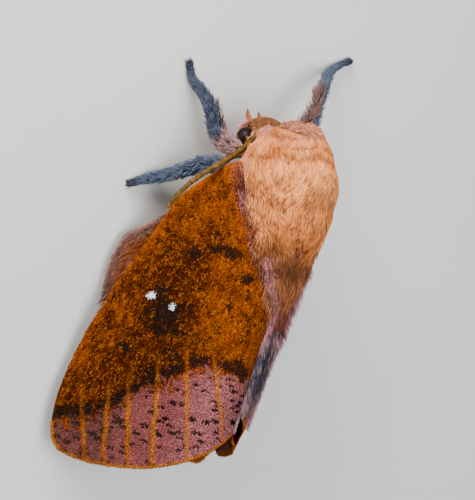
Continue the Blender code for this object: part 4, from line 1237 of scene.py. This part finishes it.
def head_coat(material):
    """Hair of the head: brown face darkened with painted shade, standing crown, pale cheeks and a
    rim over each eye.
    """
    rng = np.random.default_rng(7)
    n = many(10000)
    q = unit(rng.normal(0, 1, (n, 3)))
    root = HEAD_CENTRE + q * (HEAD_RADII - 0.32)
    side = np.sign(q[:, 0])
    eye_place = EYE_CENTRE * np.stack([side, np.ones(n), np.ones(n)], axis=1)
    apart = np.linalg.norm(root - eye_place, axis=1)
    keep = (apart > EYE_RADIUS + 0.1) & (q[:, 1] < 0.72)
    q, root, side, eye_place, apart = (a[keep] for a in (q, root, side, eye_place, apart))
    n = len(q)
    normal = unit(q / HEAD_RADII)
    face, crown, cheek = head_regions(q)
    brow = smooth((EYE_RADIUS + 0.55 - apart) / 0.3) * (root[:, 2] > eye_place[:, 2] - 0.1)
    brow = brow * smooth((root[:, 1] - eye_place[:, 1] + 0.1) / 0.3)
    lie = weighted(np.ones(n), 0.1 * q[:, 0], 0.5, -0.3) * (1.0 - crown - cheek - face)[:, None]
    lie = lie + weighted(crown, 0.4 * q[:, 0], -0.35, 0.5) + weighted(cheek, side, 0.15, -0.5)
    lie = lie + weighted(face, -0.4 * q[:, 0], 0.0, 0.9)
    over_eye = unit(eye_place - root)
    lie = unit(lie) * (1.0 - brow)[:, None] + over_eye * brow[:, None]
    lie = lie + rng.normal(0, 0.15, (n, 3))
    length = rng.uniform(0.6, 1.0, n) * (1.0 - 0.45 * face) + 0.35 * crown + 0.45 * cheek
    length = length * (1.0 - 0.25 * brow)
    rise = length * (0.25 + 0.35 * crown + 0.35 * cheek + 0.25 * brow - 0.1 * face)
    centre = surface_lines(root, normal, lie, length, rise, 0.25)
    centre, draw = wisps(centre, 12, 0.45, rng)
    rose = 0.5 * crown + 0.95 * cheek + 0.5 * (1.0 - crown - cheek - face)
    # Painted shade: the face's hair is darkened, in part with near-black strands, over its own
    # gold-brown
    masks = {"tone": 0.5 * draw + 0.5 * rng.random(n), "rose": np.clip(rose, 0, 1) * (1 - brow),
             "gold": 0.6 * face * (1.0 - brow) * draw, "deep": 0.4 + 0.4 * face + 0.2 * brow,
             "lilac": 0.25 * cheek * (draw > 0.6), "brown": np.maximum(0.4 * (1.0 - cheek), face),
             "soot": np.maximum((rng.random(n) < 0.03) * 0.6, 0.8 * face * rng.random(n))}
    uv = np.stack([np.arctan2(q[:, 0], q[:, 2]) / 6.5 + 0.5,
                   np.arccos(np.clip(-q[:, 1], -1, 1)) / 3.3 + 0.02], axis=1)
    return strands("head_coat", centre, normal, rng.uniform(0.05, 0.085, n), 0.6, material,
                   masks, uv)


def palp_coat(name, side, material):
    """Short brush of hair on one of the palps under the face, drawn in a little at its tip."""
    rng = np.random.default_rng(9)
    n = many(900)
    t = rng.uniform(0.05, 1.0, n)
    around = rng.uniform(0, 2 * math.pi, n)
    middle, direction, normal = round_route(np.array(PALP_ROUTE) * (side, 1, 1), t, around)
    length = rng.uniform(0.2, 0.35, n)
    lie = direction - normal * (0.25 * smooth((t - 0.5) / 0.5))[:, None]
    away = (0.22 * (1.0 - 0.6 * t ** 3))[:, None]
    centre, draw = wisps(straight_lines(middle + normal * away, lie, length), 10, 0.1, rng)
    masks = {"tone": draw, "gold": 0.3, "deep": 0.8, "brown": 0.6, "soot": 0.5}
    uv = np.stack([0.1 + 0.8 * around / 6.3, 0.05 + 0.9 * t], axis=1)
    return strands(name, centre, normal, rng.uniform(0.05, 0.08, n), 0.6, material, masks, uv)


def abdomen_coat(material):
    """Short orange hair in the abdomen's rings, longer between the wings at the front."""
    rng = np.random.default_rng(21)
    n = many(8500)
    along = rng.uniform(0.4, ABDOMEN_LENGTH - 0.1, n)
    around = rng.uniform(-180.0, 180.0, n)
    top = smooth((60.0 - np.abs(around)) / 30.0) * smooth((7.0 - along) / 3.0)
    under = np.full(n, -0.25)
    root = abdomen_point(along, around, under)
    normal = unit(abdomen_point(along, around, under + 1.0) - root)
    back = unit(abdomen_point(along + 0.3, around, under) - root)
    lie = back + np.cross(back, normal) * rng.normal(0, 0.16, n)[:, None]
    length = rng.uniform(0.7, 1.1, n) + 1.6 * top
    centre = surface_lines(root, normal, lie, length, rng.uniform(0.12, 0.28, n) + 0.5 * top)
    centre, draw = wisps(centre, 16, 0.4, rng)
    masks = {"tone": 0.6 * draw + 0.4 * rng.random(n), "deep": 0.6,
             "rose": 0.2 + 0.5 * smooth((np.abs(around) - 120.0) / 30.0),
             "soot": (rng.random(n) < 0.02) * 0.6}
    uv = np.stack([around / 368 + 0.5, along / 16.2 + 0.01], axis=1)
    return strands("abdomen_coat", centre, normal, rng.uniform(0.08, 0.12, n), 0.6, material,
                   masks, uv)


def leg_frame(route, t):
    """Centre, direction and two cross directions of a route at shares t of its length."""
    centre = curve_through(route, t)
    direction = heading_on(route, t)
    over = unit(np.cross(direction, np.cross((0.0, 0.0, 1.0), direction)))
    return centre, direction, over, np.cross(direction, over)


def round_route(route, t, angle):
    """Centre, direction and the way outward at shares t and angles round a route."""
    centre, direction, over, across = leg_frame(route, t)
    return centre, direction, over * np.cos(angle)[..., None] + across * np.sin(angle)[..., None]


def leg_radius(t):
    """Radius of a leg's skin at shares t of its length."""
    return np.interp(t, np.linspace(0, 1, len(LEG_RADII)), LEG_RADII)


def leg_coat(index, leg, material):
    """Fuzz of one leg, lying toward its tip; the forelegs carry an orange strip inside."""
    rng = np.random.default_rng(300 + index)
    n = many(2400)
    t = rng.uniform(0.08, 0.98, n)
    around = rng.uniform(0, 2 * math.pi, n)
    middle, direction, normal = round_route(LEG_ROUTES[leg], t, around)
    root = middle + normal * (leg_radius(t) - 0.05)[:, None]
    side = 1.0 if leg.endswith("left") else -1.0
    strip = smooth((-normal[:, 0] * side - 0.1) / 0.4) * smooth((0.60 - t) / 0.1)
    strip = strip * (1.0 if leg.startswith("fore") else 0.3)
    lie = direction + np.cross(direction, normal) * rng.normal(0, 0.3, n)[:, None]
    length = rng.uniform(0.45, 0.95, n) * (1.0 - 0.5 * smooth((t - 0.6) / 0.35))
    length = length + 0.4 * strip + 0.3 * smooth((0.4 - t) / 0.1)
    rise = length * rng.uniform(0.15, 0.55, n) * (1.0 + 0.4 * strip)
    centre, draw = wisps(surface_lines(root, normal, lie, length, rise), 11, 0.5, rng)
    keep = centre[..., 2].min(axis=1) > LEG_HAIR_FLOOR
    rosy = smooth((0.31 - t) / 0.06) * (leg == "fore_left")
    # Painted shade: the near foreleg is darkened along its length; the dark foot is the leg's own
    # colour
    masks = {"tone": 0.5 * draw + 0.5 * rng.random(n), "orange": 0.7 * strip * (1.0 - rosy),
             "rose": rosy, "soot": np.maximum(smooth((t - 0.82) / 0.15) * 0.7,
                                              0.45 * (leg == "fore_left") * (1.0 - rosy))}
    uv = np.stack([(index + 0.08 + 0.84 * around / (2 * math.pi)) / 6, 0.02 + 0.96 * t], axis=1)
    return strands(f"leg_coat_{leg}", centre[keep], normal[keep],
                   rng.uniform(0.05, 0.085, n)[keep], 0.6, material,
                   pick(masks, n, keep), uv[keep])


def lattice(rings, around, point_of):
    """Closed form from rings of points, its ends shut with fans."""
    a, b = np.meshgrid(np.linspace(0, 1, rings), np.arange(around) / around, indexing="ij")
    points = point_of(a, b)
    index = np.arange(rings * around).reshape(rings, around)
    nxt = np.roll(index, -1, axis=1)
    quads = np.stack([index[:-1], nxt[:-1], nxt[1:], index[1:]], axis=-1).reshape(-1, 4)
    flat = points.reshape(-1, 3)
    ends = np.stack([points[0].mean(axis=0), points[-1].mean(axis=0)])
    first, final = len(flat), len(flat) + 1
    tris = np.concatenate([np.stack([nxt[0], index[0], np.full(around, first)], axis=-1),
                           np.stack([index[-1], nxt[-1], np.full(around, final)], axis=-1)])
    return np.concatenate([flat, ends]), quads, tris


def ball_points(centre, radii):
    """Point function of an ellipsoid for lattice()."""
    def point(a, b):
        p, q = np.radians(a * 178 + 1), 2 * math.pi * b
        return centre + np.stack([np.sin(p) * np.sin(q), -np.cos(p),
                                  np.sin(p) * np.cos(q)], axis=-1) * radii
    return point


def tube_points(route, radius_of):
    """Point function of a tube along a route for lattice()."""
    def point(a, b):
        middle, _, out = round_route(route, a, 2 * math.pi * b)
        return middle + out * radius_of(a)[..., None]
    return point


def body_forms():
    """Closed forms of thorax, head, abdomen, legs and palps."""
    forms = [lattice(60, 64, lambda a, b: core_point(a * 178 + 1, b * 360, 0 * a)),
             lattice(40, 48, ball_points(HEAD_CENTRE, HEAD_RADII - 0.35)),
             lattice(80, 56, lambda a, b: abdomen_point(a * ABDOMEN_LENGTH, b * 360,
                                                        -0.22 + 0 * a))]
    forms += [lattice(60, 20, tube_points(route, leg_radius)) for route in LEG_ROUTES.values()]
    for side in (1, -1):
        route = np.array(PALP_ROUTE) * (side, 1, 1)
        forms.append(lattice(16, 16, tube_points(
            route, lambda a: 0.28 * np.sqrt(np.maximum(0.05, 1 - a ** 3)))))
    return forms


def melt_together(obj):
    """Replace an object's mesh with one smooth skin round all its closed forms."""
    melt = obj.modifiers.new("Melt", "REMESH")
    melt.mode = "VOXEL"
    melt.voxel_size = 0.13 * MM
    melt.use_smooth_shade = True
    blend = obj.modifiers.new("Blend", "SMOOTH")
    blend.factor = 0.5
    blend.iterations = 6
    bpy.context.view_layer.update()
    evaluated = obj.evaluated_get(bpy.context.evaluated_depsgraph_get())
    mesh = bpy.data.meshes.new_from_object(evaluated)
    obj.modifiers.clear()
    obj.data = mesh
    mesh.shade_smooth()


def leg_nearness(mesh):
    """1 at a mesh's vertices on the legs, 0 away from them."""
    places = np.zeros(len(mesh.vertices) * 3, np.float32)
    mesh.vertices.foreach_get("co", places)
    places = places.reshape(-1, 3) / MM + (0.0, MIDDLE_Y, 0.0)
    near = np.full(len(places), 9.0)
    for route in LEG_ROUTES.values():
        for joint in curve_through(route, np.linspace(0.15, 1.0, 30)):
            near = np.minimum(near, np.linalg.norm(places - joint, axis=1))
    return smooth((0.85 - near) / 0.2)


def body_skin(material):
    """One skin for thorax, head, palps, abdomen and legs: their forms melted together."""
    points, quads, tris, count = [], [], [], 0
    for p, q, t in body_forms():
        points.append(p)
        quads.append(q + count)
        tris.append(t + count)
        count += len(p)
    obj = make_mesh("body_skin", np.concatenate(points), np.concatenate(quads),
                    np.concatenate(tris), material)
    melt_together(obj)
    layer = obj.data.attributes.new("slate", "FLOAT", "POINT")
    layer.data.foreach_set("value", leg_nearness(obj.data).astype(np.float32))
    return obj


def eye(name, side, material):
    """One eye: a ball set in the side of the head."""
    centre = EYE_CENTRE * (side, 1, 1)
    return make_mesh(name, *lattice(40, 48, ball_points(centre, EYE_RADIUS)), material)


ANTENNA_RINGS = 42
ANTENNA_RADIUS = 0.29


def antenna_radius(a):
    """Radius of an antenna's shaft at share a, wider at each joint."""
    saw = np.mod(a * ANTENNA_RINGS, 1.0)
    return ANTENNA_RADIUS * (1.12 - 0.42 * a) * (0.80 + 0.26 * saw)


def antenna(name, side, material):
    """Jointed shaft with a short tooth on each side of each joint, finer to the tip."""
    route = np.array(ANTENNA_ROUTE) * (side, 1, 1)
    shaft = make_mesh(name, *lattice(ANTENNA_RINGS * 5 + 1, 14,
                                     tube_points(route, antenna_radius)), material)
    t = np.repeat((np.arange(ANTENNA_RINGS - 4) + 2.5) / ANTENNA_RINGS, 2)
    sign = np.tile((1.0, -1.0), ANTENNA_RINGS - 4)
    middle, direction, over, across = leg_frame(route, t)
    out = unit(across * sign[:, None] - over * 0.2)
    length = 0.34 * (1.0 - 0.5 * t)
    root = middle + out * ANTENNA_RADIUS * 0.5
    line = straight_lines(root, out + direction * 0.5, length)
    uv = np.stack([t, 0.3 + 0.4 * (sign > 0)], axis=1)
    teeth = strands(name + "_teeth", line, over, np.full(len(t), 0.13), 0.8, material, {}, uv)
    return shaft, teeth


SCALES = wing_material()
THORAX_FUR = fur_material("thorax_fur", PEACH_DEEP, PEACH, PEACH_PALE)
HEAD_FUR = fur_material("head_fur", BROWN_ORANGE, PEACH, PEACH_PALE)
BODY_FUR = fur_material("body_fur", BROWN_ORANGE, PEACH_DEEP, PEACH)
LEG_FUR = leg_material()
SKIN = skin_material()
ANTENNA = antenna_material()
EYE = eye_material()


def keep_on(obj, nodes=()):
    """Fix a piece to the part's root and hide the solids that it stands for."""
    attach(obj, "root")
    if nodes:
        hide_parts(*nodes)


# Spacing of the scales on the wings' upper faces and on their under faces
FORE_SPACING = 0.125
HIND_SPACING = 0.15
UNDER_SPACING = 0.24
# Fringes of each wing: name, margin and stretch of it, strands, length, lean back, rise, marks,
# seed and how far the tips gather
FORE_FRINGES = (
    ("outer_fringe", 1, (0.0, 1.0), 3200, 0.22, 0.3, 0.1, {"gold": 0.5, "shade": 0.4}, 31, 0.1),
    ("inner_fringe", 2, (0.30, 0.52), 1800, 0.9, 1.1, 0.5,
     {"rose": 1.0, "lilac": 0.8, "shade": 0.0}, 32, 0.4),
    ("tail_fringe", 2, (0.78, 1.0), 1000, 0.4, 1.0, 0.4,
     {"rose": 1.0, "lilac": 0.6, "white": 0.2, "shade": 0.0}, 36, 0.4),
)
HIND_FRINGES = (
    ("hind_fringe", 1, (0.0, 1.0), 2200, 0.25, 0.3, 0.1, {"gold": 0.6}, 33, 0.1),
    ("hind_costa", 0, (0.1, 1.0), 4500, 0.4, 1.2, 0.2,
     {"rose": 0.5, "soot": 0.4, "white": 0.2}, 34, 0.15),
)


def dress_wing(wing, word, side, plan, drop, marks, spacing, covers, seed):
    """Sheet of one wing, and the scales of its upper and under face."""
    keep_on(wing_sheet(f"{wing}_sheet_{word}", plan, side, drop, marks, SCALES),
            [f"{wing}_{word}"])
    keep_on(wing_scales(f"{wing}_scales_{word}", plan, side, drop, 1, marks, spacing, SCALES,
                        seed, covers[0]))
    keep_on(wing_scales(f"{wing}_under_{word}", plan, side, drop, -1, underside_marks,
                        UNDER_SPACING, SCALES, seed + 1, covers[1]))


def dress_wings(word, side):
    """Sheets, scales, fringes and hair of one side's two wings."""
    fore, hind = FOREWING[side], HINDWING[side]
    dress_wing("forewing", word, side, fore, 0.0, forewing_marks, FORE_SPACING, (None, hind), 11)
    dress_wing("hindwing", word, side, hind, HINDWING_DROP, hindwing_marks, HIND_SPACING,
               (fore, None), 13)
    for name, *values in FORE_FRINGES:
        keep_on(margin_hair(f"{name}_{word}", fore, side, 0.0, SCALES, *values))
    keep_on(valley_hair("valley_hair_" + word, side, LEG_FUR))
    keep_on(base_hair("base_hair_" + word, side, SCALES))
    keep_on(ridge_hair("ridge_hair_" + word, side, SCALES))
    keep_on(shoulder_hair("shoulder_hair_" + word, side, THORAX_FUR))
    for name, *values in HIND_FRINGES:
        keep_on(margin_hair(f"{name}_{word}", hind, side, HINDWING_DROP, SCALES, *values))
    keep_on(hind_hair("hind_hair_" + word, side, SCALES))


def dress_head(word, side):
    """Eye, antenna and palp's hair of one side."""
    keep_on(eye("eye_ball_" + word, side, EYE), ["eye_" + word])
    shaft, teeth = antenna("antenna_shaft_" + word, side, ANTENNA)
    keep_on(shaft, ["antenna_" + word])
    keep_on(teeth)
    keep_on(palp_coat("palp_coat_" + word, side, HEAD_FUR))


LEG_NODES = [f"{part}_{leg}" for leg in LEG_ROUTES for part in ("femur", "tibia", "tarsus")]
keep_on(body_skin(SKIN),
        ["thorax", "head", "palp_left", "palp_right", "abdomen"] + LEG_NODES)
for side_word, side_sign in (("left", 1), ("right", -1)):
    dress_wings(side_word, side_sign)
    dress_head(side_word, side_sign)
for piece in (collar_coat(THORAX_FUR), fringe_coat(THORAX_FUR), disc_coat(1, THORAX_FUR),
              disc_coat(2, THORAX_FUR), rear_tufts(THORAX_FUR)):
    keep_on(piece)
keep_on(metathorax_hair(BODY_FUR))
keep_on(venter_coat(BODY_FUR))
keep_on(head_coat(HEAD_FUR))
keep_on(abdomen_coat(BODY_FUR))
for number, leg_name in enumerate(LEG_ROUTES):
    keep_on(leg_coat(number, leg_name, LEG_FUR))


CAMERA_AZIMUTH = 8.0
CAMERA_HEIGHT = 42.0
CAMERA_ROLL = 111.3
CAMERA_DISTANCE = 230.0
PIXELS_PER_MM = 11.03
PICTURE = (475.0, 500.0)
AIM = np.array((0.0, 8.0, 5.0))
AIM_PIXEL = (231.1, 276.1)
LIGHT_DISTANCE = 200.0
# Half the floor's width, in metres
FLOOR_HALF = 1.5


def add_camera():
    """Camera at the photograph's angle, placed so that AIM falls on its pixel."""
    a, e, r = (math.radians(v) for v in (CAMERA_AZIMUTH, CAMERA_HEIGHT, CAMERA_ROLL))
    back = Vector((math.cos(e) * math.cos(a), -math.cos(e) * math.sin(a), math.sin(e)))
    level = Vector((0, 0, 1)).cross(back).normalized()
    upright = back.cross(level)
    right = math.cos(r) * level + math.sin(r) * upright
    up = -math.sin(r) * level + math.cos(r) * upright
    target = Vector(AIM - (0.0, MIDDLE_Y, 0.0))
    target += right * ((PICTURE[0] / 2 - AIM_PIXEL[0]) / PIXELS_PER_MM)
    target += up * ((AIM_PIXEL[1] - PICTURE[1] / 2) / PIXELS_PER_MM)
    data = bpy.data.cameras.new("camera")
    data.sensor_width = 36.0
    data.lens = PIXELS_PER_MM * CAMERA_DISTANCE * data.sensor_width / PICTURE[1]
    data.clip_start = 0.001
    camera = bpy.data.objects.new("camera", data)
    pose = Matrix((right, up, back)).transposed().to_4x4()
    pose.translation = (target + back * CAMERA_DISTANCE) * MM
    camera.matrix_world = pose
    bpy.context.scene.collection.objects.link(camera)
    bpy.context.scene.camera = camera
    return right, up, back


def add_light(name, towards, size, power, colour=(1.0, 1.0, 1.0)):
    """Soft square light that looks at the moth, its size in mm."""
    data = bpy.data.lights.new(name, "AREA")
    data.size = size * MM
    data.energy = power
    data.color = colour
    lamp = bpy.data.objects.new(name, data)
    towards = Vector(towards).normalized()
    lamp.location = towards * (LIGHT_DISTANCE * MM)
    lamp.rotation_euler = towards.to_track_quat("Z", "Y").to_euler()
    bpy.context.scene.collection.objects.link(lamp)


def add_stage():
    """Pale floor and even daylight."""
    mesh = bpy.data.meshes.new("floor")
    corners = ((-1, -1), (1, -1), (1, 1), (-1, 1))
    mesh.from_pydata([(x * FLOOR_HALF, y * FLOOR_HALF, 0) for x, y in corners], [], [(0, 1, 2, 3)])
    floor = bpy.data.objects.new("floor", mesh)
    bpy.context.scene.collection.objects.link(floor)
    m = Nodes("floor", 0.9, 0.1)
    m.colour(m.mix(m.noise(0.02), (0.62, 0.61, 0.59), (0.66, 0.65, 0.63)))
    mesh.materials.append(m.material)
    world = bpy.data.worlds.new("studio")
    world.use_nodes = True
    world.node_tree.nodes["Background"].inputs["Color"].default_value = (0.95, 0.97, 1.0, 1.0)
    world.node_tree.nodes["Background"].inputs["Strength"].default_value = 0.55
    bpy.context.scene.world = world


right, up, back = add_camera()
add_light("key", back * 0.7 + up * 0.7 - right * 0.25, 120.0, 1.85, (1.0, 0.98, 0.95))
add_light("fill", back * 0.8 - up * 0.3 + right * 0.7, 180.0, 0.5, (0.95, 0.97, 1.0))
add_stage()
